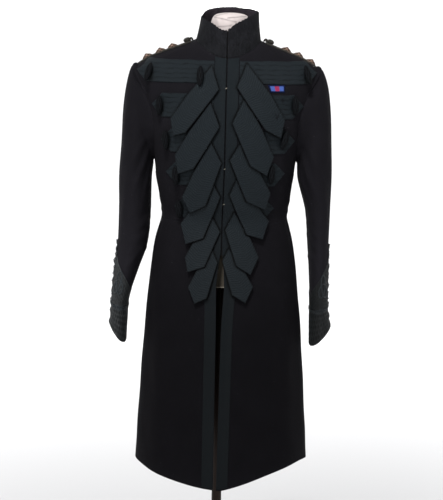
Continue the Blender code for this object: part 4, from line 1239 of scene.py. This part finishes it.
class COAT_OT_bands(Piece, bpy.types.Operator):
    """Wide braid bands: ribs along a strip that follows the chest and ends in a point"""
    bl_idname = "coat.bands"
    bl_label = "Chest Bands"

    RIBS = 5

    def band(self, context, side, word, number, z_mid, point_x):
        """Heights are a row of half circles across the strip, over a rounded border."""
        strip = COAT_OT_strips.FROM_EDGE + context.scene.coat_sizes.strip + 1.2 * MM
        start = front_edge(float(NECK), side) + side * strip
        neck = point_x - side * BAND_POINT
        half = BAND_HEIGHT / 2
        if number == 1:
            half, z_mid = half - 2.0 * MM, z_mid + 2.4 * MM
        across = np.concatenate([[-1, -0.985, -0.96], np.linspace(-0.93, 0.93, 51),
                                 [0.96, 0.985, 1]])
        along = np.concatenate([np.linspace(0, 0.94, 58), np.linspace(0.95, 1, 7)])[:, None]
        end = neck + side * BAND_POINT * (1 - np.abs(across))[None, :]
        x = start + (end - start) * along
        wave = 0.4 * MM * np.sin(x * 70 + number) + 0.2 * MM * np.sin(x * 210)
        above = np.minimum(half, seam_height(side, x) - z_mid)
        z = z_mid + across[None, :] * np.where(across < 0, half, above) + wave
        skin, out = front_skin(x, z)
        phase = np.mod((across + 1) / 2 * self.RIBS, 1)
        rib = np.sqrt(np.clip(1 - np.abs(2 * phase - 1) ** 5, 0, 1))
        rib = rib * (1 + 0.07 * np.sin(8 * math.pi * phase))
        border = np.minimum((1 - np.abs(across))[None, :] * half, np.abs(end - x) + 1e-5)
        size = context.scene.coat_sizes
        height = BRAID - size.rib + size.rib * rib[None, :]
        height = height * (0.1 + 0.9 * rounded(border, 1.3 * MM))
        under = skin + out * BAND_LIFT
        outer = under + out * height[..., None]
        uv = np.stack([np.broadcast_to(z - z_mid, x.shape), np.abs(x)], -1)
        # painted shade: dark lines along the grooves between the ribs, contact shade beside the
        # leaves over the band, and shade round the olivets
        bent = phase[None, :] + 0.10 * np.sin(x * 130 + 4 * across)
        bent = bent + 0.06 * np.sin(x * 310 + number)
        line = np.exp(-((np.minimum(bent, 1 - bent)) / 0.13) ** 2) * (0.7 + 0.3 * np.sin(x * 190))
        edge = np.maximum(0.55 * line, under_leaves(word, x, z))
        edge = np.maximum(edge, 0.8 * beside_olivets(word, x, z))
        piece = slab(f"ribbed_band_{word}_{number}", outer, under, braid(context, "band"), uv, edge)
        as_cloth(piece, f"band_{word}_{number}", outer)

    def execute(self, context):
        for number, z_mid, *points in BANDS:
            for side, word in SIDES:
                self.band(context, side, word, number, z_mid, points[side > 0])
        return {"FINISHED"}


class COAT_OT_leaves(Piece, bpy.types.Operator):
    """Hanging leaves: the folded ends of the braids, each a double cloth between two rails"""
    bl_idname = "coat.leaves"
    bl_label = "Folded Leaves"

    def leaf(self, context, word, number, *sizes):
        """Points go straight from the inner rail to the outer one, lifted more towards the tip."""
        stops = leaf_stops(word, *sizes)
        top, inner = stops[1][0], stops[0][0]
        marks = np.array([0.0, 0.42, 0.8, 1.0])
        along = np.unique(np.concatenate([np.linspace(0, 0.8, 48), np.linspace(0.8, 1, 16), marks,
                                          [0.004, 0.012, 0.992, 0.998]]))
        rails = [np.stack([np.interp(along, marks, line[:, k]) for k in (0, 1)], -1)
                 for line in stops]
        share = eased(27, 1.9)[None, :, None]
        flat = rails[0][:, None] * (1 - share) + rails[1][:, None] * share
        width = np.linalg.norm(rails[1] - rails[0], axis=-1)[:, None]
        border = np.minimum(share[..., 0], 1 - share[..., 0]) * width
        reach = np.linalg.norm(top - inner)
        border = np.minimum(border, along[:, None] * 3 * reach)
        lift = LEAF_LIFT + self.HANG * (top[1] - flat[..., 1])
        run = arc_uv(np.concatenate([flat, 0 * flat[..., :1]], -1))
        waves = 0.22 * MM * np.sin(run[..., 1] * 55 + number * 2.1)
        waves = waves * np.sin(run[..., 0] * 60 + number)
        lift = lift + waves * step(0.15, 0.5, along)[:, None]
        skin, out = front_skin(flat[..., 0], flat[..., 1])
        under = skin + out * lift[..., None]
        height = LEAF * (0.10 + 0.90 * rounded(border, 0.9 * MM))
        outer = under + out * height[..., None]
        uv = np.stack([(share[..., 0] - 0.5) * width, run[..., 1]], -1)
        # painted shade: a dark border round the leaf, and contact shade beside the leaves that lie
        # over it
        edge = np.maximum(0.8 * np.exp(-(border / (1.6 * MM)) ** 2),
                          under_leaves(word, flat[..., 0], flat[..., 1], number))
        piece = slab(f"folded_leaf_{word}_{number}", outer, under, braid(context, "leaf"), uv, edge)
        as_cloth(piece, f"leaf_{word}_{number}", outer)

    HANG = 0.052                # how fast a leaf leaves the cloth on its way down
    MARKS = (
        # lift   x and z of each stroke's ends
        (12.4, 0.1109, 1.3368, 0.1145, 1.3237),
        (12.4, 0.1145, 1.3237, 0.1187, 1.3377),
        (2.6, 0.1302, 1.3700, 0.1304, 1.3590),
        (2.6, 0.1255, 1.3655, 0.1350, 1.3650),
    )

    def marks(self, context):
        """Loose threads left by an old badge: short bent lines over the left breast."""
        share = np.linspace(0, 1, 14)
        parts = []
        for lift, x_from, z_from, x_to, z_to in self.MARKS:
            skin, out = front_skin(x_from + (x_to - x_from) * share,
                                   z_from + (z_to - z_from) * share)
            rise = (lift + 0.5 * np.sin(share * math.pi)) * MM
            parts.append(tube(skin + out * rise[:, None], 0.45 * MM, out, around=7))
        stands_for(joined("loose_threads", parts, wool(context)))

    def execute(self, context):
        for row in LEAVES:
            self.leaf(context, *row)
        self.marks(context)
        return {"FINISHED"}


class COAT_OT_olivets(Piece, bpy.types.Operator):
    """Netted olivets: long pointed ovals with crossing threads raised along two helices"""
    bl_idname = "coat.olivets"
    bl_label = "Olivets"

    THREADS, WINDS, NET = 7, 3.0, 0.45 * MM

    def execute(self, context):
        colors = context.scene.coat_colors
        silk = olivet_material("netted_silk", scaled(colors.wool, 0.4), scaled(colors.braid, 0.9))
        turn, tall = np.meshgrid(np.linspace(0, TAU, 57), np.linspace(0, math.pi, 64))
        ridges = []
        for way in (-1, 1):
            phase = turn / TAU * self.THREADS + way * tall / math.pi * self.WINDS
            ridges.append(np.exp(-(np.abs(np.mod(phase, 1) - 0.5) / 0.13) ** 2))
        net = np.maximum(*ridges) * np.sin(tall) ** 0.5
        wide = np.sin(tall) ** 1.12
        shape = np.stack([wide * np.cos(turn), wide * np.sin(turn), np.cos(tall)], -1)
        out_of = np.stack([np.cos(turn), np.sin(turn), 0 * turn], -1)
        base = shape * OLIVET_SIZE / 2 + out_of * (self.NET * (net - 1) * wide)[..., None]
        for word, number, x, z, lean, lift in OLIVETS:
            skin, out = front_skin(x, z)
            place = skin + out * (lift * MM + OLIVET_SIZE[1] / 2)
            up = unit(np.array((0, 0, 1)) - out[2] * out)
            across = np.cross(up, out)
            tip = math.radians(lean)
            axes = np.array((across * math.cos(tip) - up * math.sin(tip), -out,
                             up * math.cos(tip) + across * math.sin(tip)))
            piece = shell(f"netted_olivet_{word}_{number}", base @ axes + place, silk, net,
                          np.stack([turn / TAU, tall / math.pi], -1), corner=70)
            stands_for(piece, f"olivet_{word}_{number}")
        return {"FINISHED"}


class COAT_OT_cuffs(Piece, bpy.types.Operator):
    """Sleeve braiding: a wide cuff braid, a pointed field of eyes above it, and tracing cords"""
    bl_idname = "coat.cuffs"
    bl_label = "Cuff Braiding"

    LIFT, THICK, ROUND = 0.5 * MM, 1.3 * MM, 0.046
    CUFF, FIELD_END = (9.28, 10.98), 9.20       # levels on the sleeve

    def laid(self, context, name, side, turn, level, border, relief):
        """A braid on the sleeve: a relief from 0 to 1 over a rounded border."""
        height = self.THICK * (0.4 + 0.6 * relief) * (0.1 + 0.9 * rounded(border, 1.2 * MM))
        under, out = sleeve_skin(side, turn, level, self.LIFT)
        outer = under + out * height[..., None]
        edge = np.exp(-border / (1.4 * MM)) + 0.9 * relief
        kind = "sleeve" if side < 0 else "sleeve_left"
        return slab(name, outer, under, braid(context, kind), edge=edge), outer

    def cord(self, side, turn, level, radius, extra=0.0):
        """A round cord that lies on the sleeve along a path of turns and levels."""
        path, out = sleeve_skin(side, turn, level, self.LIFT + radius + extra)
        return tube(path, radius, out, around=8, squash=0.85)

    def eyes(self, side, turn, level, radius, size, count):
        """A chain of eyes along a path: two sines of opposite phase that cross each other."""
        phase = np.linspace(0, count * math.pi, len(turn))
        along_turn, along_level = np.gradient(turn), np.gradient(level)
        point, _ = sleeve_skin(side, turn, level)
        metre = np.linalg.norm(np.gradient(point, axis=0), axis=-1)
        across_level, across_turn = along_turn / metre, -along_level / metre
        parts = []
        for way in (-1, 1):
            off = way * size * np.sin(phase)
            weave = 0.35 * radius * way * np.cos(phase)
            parts.append(self.cord(side, turn + off * across_turn * 9.0,
                                   level + off * across_level * 1.0, radius, weave + 0.35 * radius))
        return parts

    def execute(self, context):
        radius = context.scene.coat_sizes.tracing
        for side, word in SIDES:
            self.cuff(context, side, word)
            self.point(context, side, word)
            color = scaled(context.scene.coat_colors.braid, 1.3 if side < 0 else 0.7)
            # painted highlights: the glint colour is a lighter copy of the cord's own
            cord = cord_material(f"tracing_cord_{word}", color, scaled(color, 3.8), 0.0028, 2.0)
            piece = joined(f"sleeve_tracing_{word}", self.tracery(side, radius), cord)
            stands_for(piece)
        return {"FINISHED"}

    def cuff(self, context, side, word):
        """The cuff braid: ribs round the wrist, with a small zigzag of loops raised on them."""
        (low, high), turn = self.CUFF, np.linspace(0, TAU, 145)[None, :]
        level = np.concatenate([[low, 9.285, 9.30], np.linspace(9.33, 10.94, 45),
                                [10.96, 10.975, high]])[:, None]
        border = np.minimum(level - low, high - level) * 0.036 + 0 * turn
        run = (level - low) / 1.7 * 6
        rib = np.abs(np.cos(math.pi * (run + 0.22 * np.sin(26 * turn + math.pi * np.floor(run)))))
        piece, outer = self.laid(context, f"cuff_wide_braid_{word}", side, turn, level, border,
                                 1 - rib ** 3)
        as_cloth(piece, f"cuff_braid_{word}", outer)

    def point(self, context, side, word):
        """The pointed field: it rises up the outer side, filled with crossing wavy rows of eyes."""
        share = np.linspace(-1, 1, 151)[None, :]
        down = np.concatenate([[0, 0.01, 0.03], np.linspace(0.06, 0.94, 44), [0.97, 0.99, 1]])
        turn = share * math.radians(165)
        top = 7.0 + 1.75 * np.abs(share) ** 0.75
        level = top + (self.FIELD_END - top) * down[:, None]
        turn = np.broadcast_to(turn, level.shape)
        depth = (level - top) * 0.062
        sway = 0.25 * np.sin(turn * self.ROUND * TAU / 0.018)
        rows = np.maximum(*(np.abs(np.cos(math.pi * (depth / 0.009 + way * sway)))
                            for way in (-1, 1)))
        border = np.minimum(np.minimum(depth, (self.FIELD_END - level) * 0.062),
                            (1 - np.abs(share)) * 0.12)
        piece, outer = self.laid(context, f"sleeve_point_braid_{word}", side, turn, level, border,
                                 rows ** 2)
        as_cloth(piece, f"sleeve_knot_{word}", outer)

    def tracery(self, side, radius):
        """Tracing: eyes down the outer side, a line of eyes on the cuff's edge, looped knots."""
        parts = []
        count = 280
        level = np.linspace(7.02, 9.15, count)
        parts += self.eyes(side, np.full(count, 0.03), level, radius, 0.0040, 9)
        turn = np.linspace(0.0, TAU, count)
        parts += self.eyes(side, turn, np.full(count, 9.30), 0.8 * radius, 0.0026, 30)
        t = np.linspace(0, TAU, count)
        for middle in (1.25, -1.25):
            loop_turn = middle + 0.26 * (np.sin(t) + 2 * np.sin(2 * t)) / 3 * 1.7
            loop_level = 8.40 + 0.40 * (np.cos(t) - 2 * np.cos(2 * t)) / 3 * 1.1
            parts.append(self.cord(side, loop_turn, loop_level, radius, 0.6 * MM))
        return parts


class COAT_OT_cords(Piece, bpy.types.Operator):
    """Shoulder cords: a flat plait along the seam, with three netted knots, a button and a loop"""
    bl_idname = "coat.cords"
    bl_label = "Shoulder Cords"

    HALF, THICK, LIFT, PLAIT = 11 * MM, 3.4 * MM, 0.4 * MM, 15 * MM
    KNOTS = {"right": (-0.1793, -0.1499, -0.1217), "left": (0.1960, 0.1675, 0.1390)}
    BUTTON = {"right": -0.0871, "left": 0.1005}
    LOOP = {"right": -0.0750, "left": 0.0880}

    def beside(self, side, level, away):
        """The angles at which each level's ring passes at a distance, in y, from its side."""
        row = smooth_rows(level, RINGS)
        reach = np.where(away < 0, row[..., Y_FRONT], row[..., Y_BACK]) - row[..., Y_SIDE]
        share = np.abs(away / reach) ** (row[..., SQUARE] / 2)
        return side * np.arccos(-np.sign(away) * share)

    def execute(self, context):
        colors = context.scene.coat_colors
        # painted highlights: copper glints on the plaited cord
        cord = cord_material("plaited_mohair", colors.cord, scaled(colors.copper, 0.2), 0.0024, 3.0)
        netted = olivet_material("netted_cord", scaled(colors.cord, 0.9), colors.copper)
        for side, word in SIDES:
            self.braid(side, word, cord)
            seam = np.linspace(NECK - 0.3, SHOULDER + 0.1, 200)
            turn = np.full(200, side * math.pi / 2)
            spine, out = body_point(turn, seam), body_normal(turn, seam)
            along = unit(np.gradient(spine, axis=0))
            knots = [self.knot(spine, out, along, x) for x in self.KNOTS[word]]
            piece = joined(f"shoulder_knots_{word}",
                           [(grid, np.zeros((*net.shape, 2))) for grid, net in knots], netted,
                           corner=75, nets=[net for _, net in knots])
            stands_for(piece)
            self.button(spine, out, along, word, cord)
        return {"FINISHED"}

    def braid(self, side, word, cord):
        """The flat plait: crossing slanted ridges over a strip that bends over the seam."""
        level = np.linspace(NECK - 0.36, SHOULDER + 0.13, 205)[:, None]
        share = (2 * eased(23, 1.8) - 1)[None, :]
        angle = self.beside(side, level, share * self.HALF)
        skin, out = body_point(angle, level), body_normal(angle, level)
        run = arc_uv(skin)[..., 1]
        ridges = np.maximum(*(np.abs(np.cos(math.pi * (run / self.PLAIT + way * 0.5 * share)))
                              for way in (-1, 1)))
        ends = np.minimum(run, run.max() - run)
        border = np.minimum((1 - np.abs(share)) * self.HALF, ends)
        height = self.THICK * (0.55 + 0.45 * ridges) * (0.1 + 0.9 * rounded(border, 2.2 * MM))
        under = skin + out * self.LIFT
        piece = slab(f"shoulder_braid_{word}", under + out * height[..., None], under, cord,
                     np.stack([share * 0.5 + 0 * run, run], -1), corner=75)
        stands_for(piece, f"shoulder_cord_{word}")

    def place(self, spine, out, along, x):
        """The seam at x: a point on the plait there, the way out of it and the way along it."""
        k = int(np.argmin(np.abs(spine[:, 0] - x)))
        return spine[k] + out[k] * (self.LIFT + self.THICK * 0.8), out[k], along[k]

    def knot(self, spine, out, along, x):
        """A netted knot: a rounded ridge, 1 - |t| ^ 1.4 along it, with threads on two helices."""
        centre, up, way = self.place(spine, out, along, x)
        wide = np.cross(way, up)
        turn, t = np.meshgrid(np.linspace(0, TAU, 49), np.linspace(-1, 1, 56))
        size = np.clip(1 - np.abs(t) ** 1.4, 0, 1) ** 0.85
        ridges = [np.exp(-(np.abs(np.mod(turn / TAU * 6 + s * t * 1.3, 1) - 0.5) / 0.16) ** 2)
                  for s in (-1, 1)]
        net = np.maximum(*ridges) * np.sqrt(size)
        size = size * (1 + 0.10 * (net - 1))
        high = np.where(np.sin(turn) > 0, 9.0, 2.5) * MM * np.sin(turn)
        grid = (centre + way * (13.0 * MM * t)[..., None]
                + wide * (8.0 * MM * size * np.cos(turn))[..., None]
                + up * (high * size)[..., None])
        return grid, net

    def button(self, spine, out, along, word, cord):
        """A covered button on its rim, and a small loop beside the collar."""
        centre, up, way = self.place(spine, out, along, self.BUTTON[word])
        wide = np.cross(way, up)
        turn, tall = np.meshgrid(np.linspace(0, TAU, 73), np.linspace(0, math.pi, 40))
        groove = 1 + 0.035 * np.cos(turn * 14) * np.sin(tall)
        radius = 8.4 * MM * np.sin(tall) ** 0.8 * groove
        dome = (centre + up * (4.4 * MM + 5.6 * MM * np.cos(tall))[..., None]
                + wide * (radius * np.cos(turn))[..., None]
                + way * (radius * np.sin(turn))[..., None])
        dome_uv = np.stack([turn / TAU, tall * 0.007], -1)
        foot, up, way = self.place(spine, out, along, self.LOOP[word])
        t = np.linspace(-0.25 * math.pi, 1.25 * math.pi, 40)
        path = (foot + way * (2.6 * MM * np.cos(t))[:, None]
                + up * (2.0 * MM + 3.4 * MM * np.sin(t))[:, None])
        loop = tube(path, 2.4 * MM, np.broadcast_to(np.cross(way, up), path.shape), around=9)
        piece = joined(f"shoulder_button_{word}", [(dome, dome_uv), loop], cord, corner=75)
        stands_for(piece)


class COAT_OT_ribbon(Piece, bpy.types.Operator):
    """Medal ribbon bar: a small crowned strip under the first band on the left front"""
    bl_idname = "coat.ribbon"
    bl_label = "Ribbon Bar"

    BAR = (0.0965, 0.1352, 1.3822, 1.3990)      # its ends in x, and in z
    BORDER = (0.003, 0.006, 0.030)

    def execute(self, context):
        colors = context.scene.coat_colors
        silk = ribbon_material("medal_ribbon", colors.ribbon, colors.ribbon_middle, self.BORDER)
        u, v = np.meshgrid(eased(41, 1.6), eased(15, 1.6))
        x_from, x_to, z_from, z_to = self.BAR
        cut = 6.0 * MM * (1 - v) * (1 - u)
        skin, out = front_skin(x_from + (x_to - x_from) * u + cut, z_from + (z_to - z_from) * v)
        border = np.minimum(np.minimum(u, 1 - u) * (x_to - x_from),
                            np.minimum(v, 1 - v) * (z_to - z_from))
        height = 1.6 * MM * (0.2 + 0.8 * rounded(border, 2.2 * MM))
        under = skin + out * 0.4 * MM
        piece = slab("medal_ribbon_bar", under + out * height[..., None], under, silk,
                     np.stack([u, v], -1))
        as_cloth(piece, "ribbon_bar", under)
        return {"FINISHED"}


class COAT_OT_fastenings(Piece, bpy.types.Operator):
    """Hooks and eyes down the closed front: bent wires that cross the slit between the strips"""
    bl_idname = "coat.fastenings"
    bl_label = "Hooks and Eyes"

    HEIGHTS, X_MIDDLE = (1.390, 1.209, 1.127), 0.0035

    def execute(self, context):
        wire = metal_material("hook_metal", (0.36, 0.33, 0.28))
        t = np.linspace(0, math.pi, 24)
        parts = []
        for z in self.HEIGHTS:
            for way in (-1, 1):
                across = self.X_MIDDLE + way * 0.4 * MM + 1.7 * MM * np.cos(t)
                skin, out = front_skin(across, z + way * 0.55 * MM + 0 * t)
                path = skin + out * ((0.9 + 0.75 * np.sin(t)) * MM)[:, None]
                parts.append(tube(path, 0.36 * MM, out, around=8))
        stands_for(joined("hooks_and_eyes", parts, wire))
        return {"FINISHED"}


class COAT_OT_form(Piece, bpy.types.Operator):
    """The form inside: the coat's rings drawn in, and the covered neck with its gathered top"""
    bl_idname = "coat.form"
    bl_label = "Dress Form"

    INSET, BOTTOM, FOOT = 4.2 * MM, 0.930, 1.5085
    NECK_MIDDLE, NECK_HALF = (0.010, -0.004), (0.048, 0.050)
    # lines of painted fold shade on the neck: each line's ends, across in mm and down from the top
    # in mm
    FOLD_SHADES = ((-38, 17, 14, 31), (-30, 41, 2, 39), (-46, 15, -6, 6), (-8, 22, 36, 13))

    def neck_ring(self, angle, share, z):
        """A level oval round the neck's axis."""
        shape = np.broadcast_shapes(np.shape(angle), np.shape(share), np.shape(z))
        return np.stack([
            np.broadcast_to(self.NECK_MIDDLE[0] + share * self.NECK_HALF[0] * np.sin(angle), shape),
            np.broadcast_to(self.NECK_MIDDLE[1] - share * self.NECK_HALF[1] * np.cos(angle), shape),
            np.broadcast_to(z, shape)], -1)

    def torso(self, context):
        """Rings of the coat moved in along their normals, closed under the hips and at the neck."""
        levels = np.concatenate([np.linspace(3.0, WAIST, 20)[:-1],
                                 np.linspace(WAIST, NECK - 0.3, 50)])[:, None]
        angle = np.linspace(0, TAU, 97)[None, :]
        inset = self.INSET + np.interp(levels, [3.0, 4.3, 5.2], [0.030, 0.010, 0.0])
        slim = np.interp(levels, [8, 9, 11, 12, 13], [0, 0.008, 0.012, 0.008, 0])
        rings = body_point(angle, levels) - inset[..., None] * body_normal(angle, levels)
        rings[..., 0] -= slim * np.sin(angle)
        raised = np.maximum(rings[..., 2], self.BOTTOM)
        rings[..., 2] = np.where(levels < 3.4, raised, rings[..., 2])
        rings[0, :, 2] = self.BOTTOM
        rings[:, -1] = rings[:, 0]
        seam = body_point(angle, float(NECK))
        out = seam - (RINGS[NECK, X_MID], self.NECK_MIDDLE[1], 0.0)
        out[..., 2] = 0
        root = seam - 9.5 * MM * unit(out)
        root[..., 2] -= 3.9 * MM
        top = [self.neck_ring(angle, np.array([[share]]), self.FOOT - 0.3 * MM)
               for share in (1.0, 0.5, 0.0)]
        floor = [self.flat_ring(rings[0], s) for s in (0.0, 0.5, 0.96)]
        points = np.concatenate([*floor, rings, root, *top])
        linen = linen_material("form_linen_weave", context.scene.coat_colors.linen, 0.0016, 0.45)
        piece = shell("form_body", points, linen)
        hem = tube(rings[0] + (0, 0, 0.8 * MM), 1.1 * MM, np.array((0.0, 0.0, 1.0)), around=8)
        tape = linen_material("form_tape", (0.30, 0.27, 0.22), 0.0014, 0.1)
        stands_for(joined("form_hem_tape", [hem], tape))
        stands_for(piece, "form_torso")

    def flat_ring(self, ring, share):
        """A smaller copy of a ring round its own middle, at the same height."""
        middle = ring[:-1].mean(0)
        return (middle + (ring - middle) * share)[None]

    def neck(self, context):
        """Ovals that narrow upwards, with soft gathers that deepen towards the tied top, and
        painted shade along its folds.
        """
        heights = np.array([0.0, 0.017, 0.029, 0.038, 0.044, 0.047, 0.0472])
        shares = np.array([1.0, 0.96, 0.92, 0.83, 0.64, 0.30, 0.0])
        place = np.linspace(0, 6, 62)[:, None]
        read = smooth_rows(place, np.stack([heights, shares], -1))
        angle = np.linspace(0, TAU, 145)[None, :]
        rise = read[..., 0]
        gather = 1 + 0.018 * np.sin(angle * 13 + 3 * rise * 60) * step(0.012, 0.042, rise)
        gather = gather + 0.008 * np.sin(angle * 5 + 1) * step(0.0, 0.02, rise)
        share = np.clip(read[..., 1], 0, 1) * gather
        bottom = [self.neck_ring(angle, np.array([[s]]), self.FOOT) for s in (0.0, 0.5)]
        points = np.concatenate([*bottom, self.neck_ring(angle, share, self.FOOT + rise)])
        points[:, -1] = points[:, 0]
        across, high = points[..., 0] - self.NECK_MIDDLE[0], points[..., 2] + 0.185 * points[..., 1]
        high = (high.max() - high) / MM
        # painted shade: dark lines along the folds of the gathered top
        fold_shade = 0 * high
        for x_from, high_from, x_to, high_to in self.FOLD_SHADES:
            share = np.clip((across / MM - x_from) / (x_to - x_from), -0.1, 1.1)
            off = high - high_from - (high_to - high_from) * share - 1.5 * np.sin(share * 3)
            fold_shade = np.maximum(fold_shade, np.exp(-(off / 1.7) ** 2) * ((share > 0) & (share < 1)))
        calico = linen_material("neck_calico", context.scene.coat_colors.neck, 0.0014, 0.06)
        piece = shell("form_neck_cover", points, calico, fold_shade)
        stands_for(piece, "form_neck")

    def execute(self, context):
        self.torso(context)
        self.neck(context)
        return {"FINISHED"}


class COAT_OT_stand(Piece, bpy.types.Operator):
    """Pole and base: profiles of radius and height turned round the Z axis"""
    bl_idname = "coat.stand"
    bl_label = "Stand"

    # radius and height of each corner of a profile, in millimetres
    POLE = ((0, 929.7), (9, 929.7), (11.2, 929), (11.8, 927), (11.8, 640), (11.8, 120),
            (11.8, 36.5), (11.2, 34.6), (0, 34.3))
    BASE = ((0, 34), (21, 34), (22, 33.5), (24.5, 27), (26, 22.2), (30, 22), (100, 21.2),
            (173, 18), (178.5, 16.5), (182, 14), (184.2, 11), (185, 8), (185, 3), (184.5, 1.2),
            (183, 0), (0, 0))

    def execute(self, context):
        polish = wood_material("stand_polish", context.scene.coat_colors.stand)
        turn = np.linspace(0, TAU, 97)
        for name, node, profile in (("turned_pole", "stand_pole", self.POLE),
                                    ("turned_base", "stand_base", self.BASE)):
            radius, z = np.array(profile).T * MM
            points = np.stack([radius[:, None] * np.cos(turn), radius[:, None] * np.sin(turn),
                               z[:, None] + 0 * turn], -1)
            stands_for(shell(name, points, polish), node)
        return {"FINISHED"}


class COAT_OT_stage(Piece, bpy.types.Operator):
    """Pale floor, soft studio light and the camera"""
    bl_idname = "coat.stage"
    bl_label = "Stage"

    LIGHTS = (
        # name         place               aims at           size (x, y)  watts
        ("key_soft", (-1.3, -2.6, 3.0), (0.0, 0.0, 1.1), (1.6, 1.6), 34),
        ("fill_soft", (2.2, -3.2, 2.0), (0.0, 0.0, 1.0), (2.0, 2.4), 13),
        ("back_soft", (-1.0, 3.4, 2.6), (0.0, 0.0, 1.0), (2.4, 2.4), 26),
    )
    SUN_STRENGTH, SUN_SPREAD = 3.3, 9          # watts a square metre, and degrees across
    SUN_UP, SUN_ROUND = 60, 16                  # degrees over the horizon, and towards the right
    AIR = 0.26

    def execute(self, context):
        scene = context.scene
        self.floor(context)
        self.backdrop()
        for name, place, aim, size, watts in self.LIGHTS:
            lamp = bpy.data.lights.new(name, "AREA")
            lamp.shape = "RECTANGLE"
            lamp.size, lamp.size_y = size
            lamp.energy = watts
            lit = bpy.data.objects.new(name, lamp)
            scene.collection.objects.link(lit)
            away = unit(np.array(place) - np.array(aim))
            side = unit(np.cross((0, 0, 1), away))
            axes = np.stack([side, np.cross(away, side), away], 1)
            lit.matrix_world = Matrix.Translation(place) @ Matrix(axes.tolist()).to_4x4()
        sun = bpy.data.lights.new("overhead_soft", "SUN")
        sun.energy, sun.angle = self.SUN_STRENGTH, math.radians(self.SUN_SPREAD)
        hung = bpy.data.objects.new("overhead_soft", sun)
        hung.rotation_euler = (math.radians(90 - self.SUN_UP), 0, -math.radians(self.SUN_ROUND))
        scene.collection.objects.link(hung)
        world = bpy.data.worlds.new("studio_air")
        world.use_nodes = True
        air = world.node_tree.nodes["Background"].inputs
        air["Color"].default_value, air["Strength"].default_value = (1, 1, 1, 1), self.AIR
        scene.world = world
        scene.view_settings.view_transform = "Standard"
        self.camera(scene)
        return {"FINISHED"}

    def floor(self, context):
        """A wide round floor, level with the base: circles of growing radius round the stand,
        painted darker near the stand as shade.
        """
        radius = np.array([0.0, 1.0, 4.0, 12.0, 36.0, 100.0, 300.0, 900.0])[:, None]
        turn = np.linspace(0, TAU, 65)[None, :]
        points = np.stack([radius * np.cos(turn), radius * np.sin(turn), 0 * radius * turn], -1)
        paper = Finish("pale_floor", 0.9, specular=0.1)
        place, tone = paper.body(), context.scene.coat_colors.floor
        nap = paper.effect("cloth_nap", Place=place, Fibre=0.01, Mottle=0.6)
        base = paper.mix(nap["Shade"], scaled(tone, 0.99), tone)
        away = paper.node("ShaderNodeVectorMath", {0: place}, operation="LENGTH").outputs["Value"]
        # painted shade: the floor darkens towards the stand
        near = paper.ramp(away, 0.6, 3.2, 1.0, 0.0)
        self.laid("studio_floor", points, paper.done(paper.mix(near, base, scaled(tone, 0.585))))

    def backdrop(self):
        """A low white ring far behind everything, so that no view ends in grey air."""
        radius, height = np.array([[60.0], [60.0]]), np.array([[-0.05], [6.0]])
        turn = np.linspace(0, TAU, 65)[None, :]
        points = np.stack([radius * np.cos(turn), radius * np.sin(turn), height + 0 * turn], -1)
        glow = Finish("pale_backdrop", 0.9, specular=0.0)
        glow.set_shader({"Base Color": (0.9, 0.9, 0.9, 1), "Emission Color": (1, 1, 1, 1),
                         "Emission Strength": 1.0})
        self.laid("studio_backdrop", points, glow.made)

    def laid(self, name, points, finish):
        """A stage object from a grid of points."""
        sheet = bpy.data.meshes.new(name)
        faces = grid_faces(*points.shape[:2])
        sheet.from_pydata(points.reshape(-1, 3).tolist(), [], faces.tolist())
        sheet.materials.append(finish)
        placed = bpy.data.objects.new(name, sheet)
        bpy.context.scene.collection.objects.link(placed)

    def camera(self, scene):
        """A long lens at the height of the collar, tipped down towards the waist."""
        lens = bpy.data.cameras.new("studio_camera")
        lens.lens = CAMERA_LENS
        lens.sensor_fit = "AUTO"
        seen = bpy.data.objects.new("studio_camera", lens)
        seen.matrix_world = (Matrix.Translation(CAMERA_PLACE)
                             @ Matrix.Rotation(math.radians(90 - CAMERA_PITCH), 4, "X")
                             @ Matrix.Rotation(math.radians(CAMERA_ROLL), 4, "Z"))
        scene.collection.objects.link(seen)
        scene.camera = seen


PIECES = (COAT_OT_body, COAT_OT_sleeves, COAT_OT_collar, COAT_OT_strips, COAT_OT_bands,
          COAT_OT_leaves, COAT_OT_olivets, COAT_OT_cuffs, COAT_OT_cords, COAT_OT_ribbon,
          COAT_OT_fastenings, COAT_OT_form, COAT_OT_stand, COAT_OT_stage)


class COAT_PT_panel(bpy.types.Panel):
    """Lists the coat's settings and the operators that build it."""
    bl_idname = "COAT_PT_panel"
    bl_label = "Frock Coat"
    bl_space_type = "VIEW_3D"
    bl_region_type = "UI"
    bl_category = "Frock Coat"

    def draw(self, context):
        for settings in (context.scene.coat_sizes, context.scene.coat_colors):
            box = self.layout.box()
            for name in settings.__annotations__:
                box.prop(settings, name)
        for piece in PIECES:
            self.layout.operator(piece.bl_idname)


CLASSES = (CoatColors, CoatSizes, *PIECES, COAT_PT_panel)


def register():
    for known in CLASSES:
        bpy.utils.register_class(known)
    bpy.types.Scene.coat_colors = PointerProperty(type=CoatColors)
    bpy.types.Scene.coat_sizes = PointerProperty(type=CoatSizes)


def unregister():
    del bpy.types.Scene.coat_sizes
    del bpy.types.Scene.coat_colors
    for known in reversed(CLASSES):
        bpy.utils.unregister_class(known)


def main():
    register()
    for piece in PIECES:
        area, name = piece.bl_idname.split(".")
        getattr(getattr(bpy.ops, area), name)()


if __name__ == "__main__":
    main()
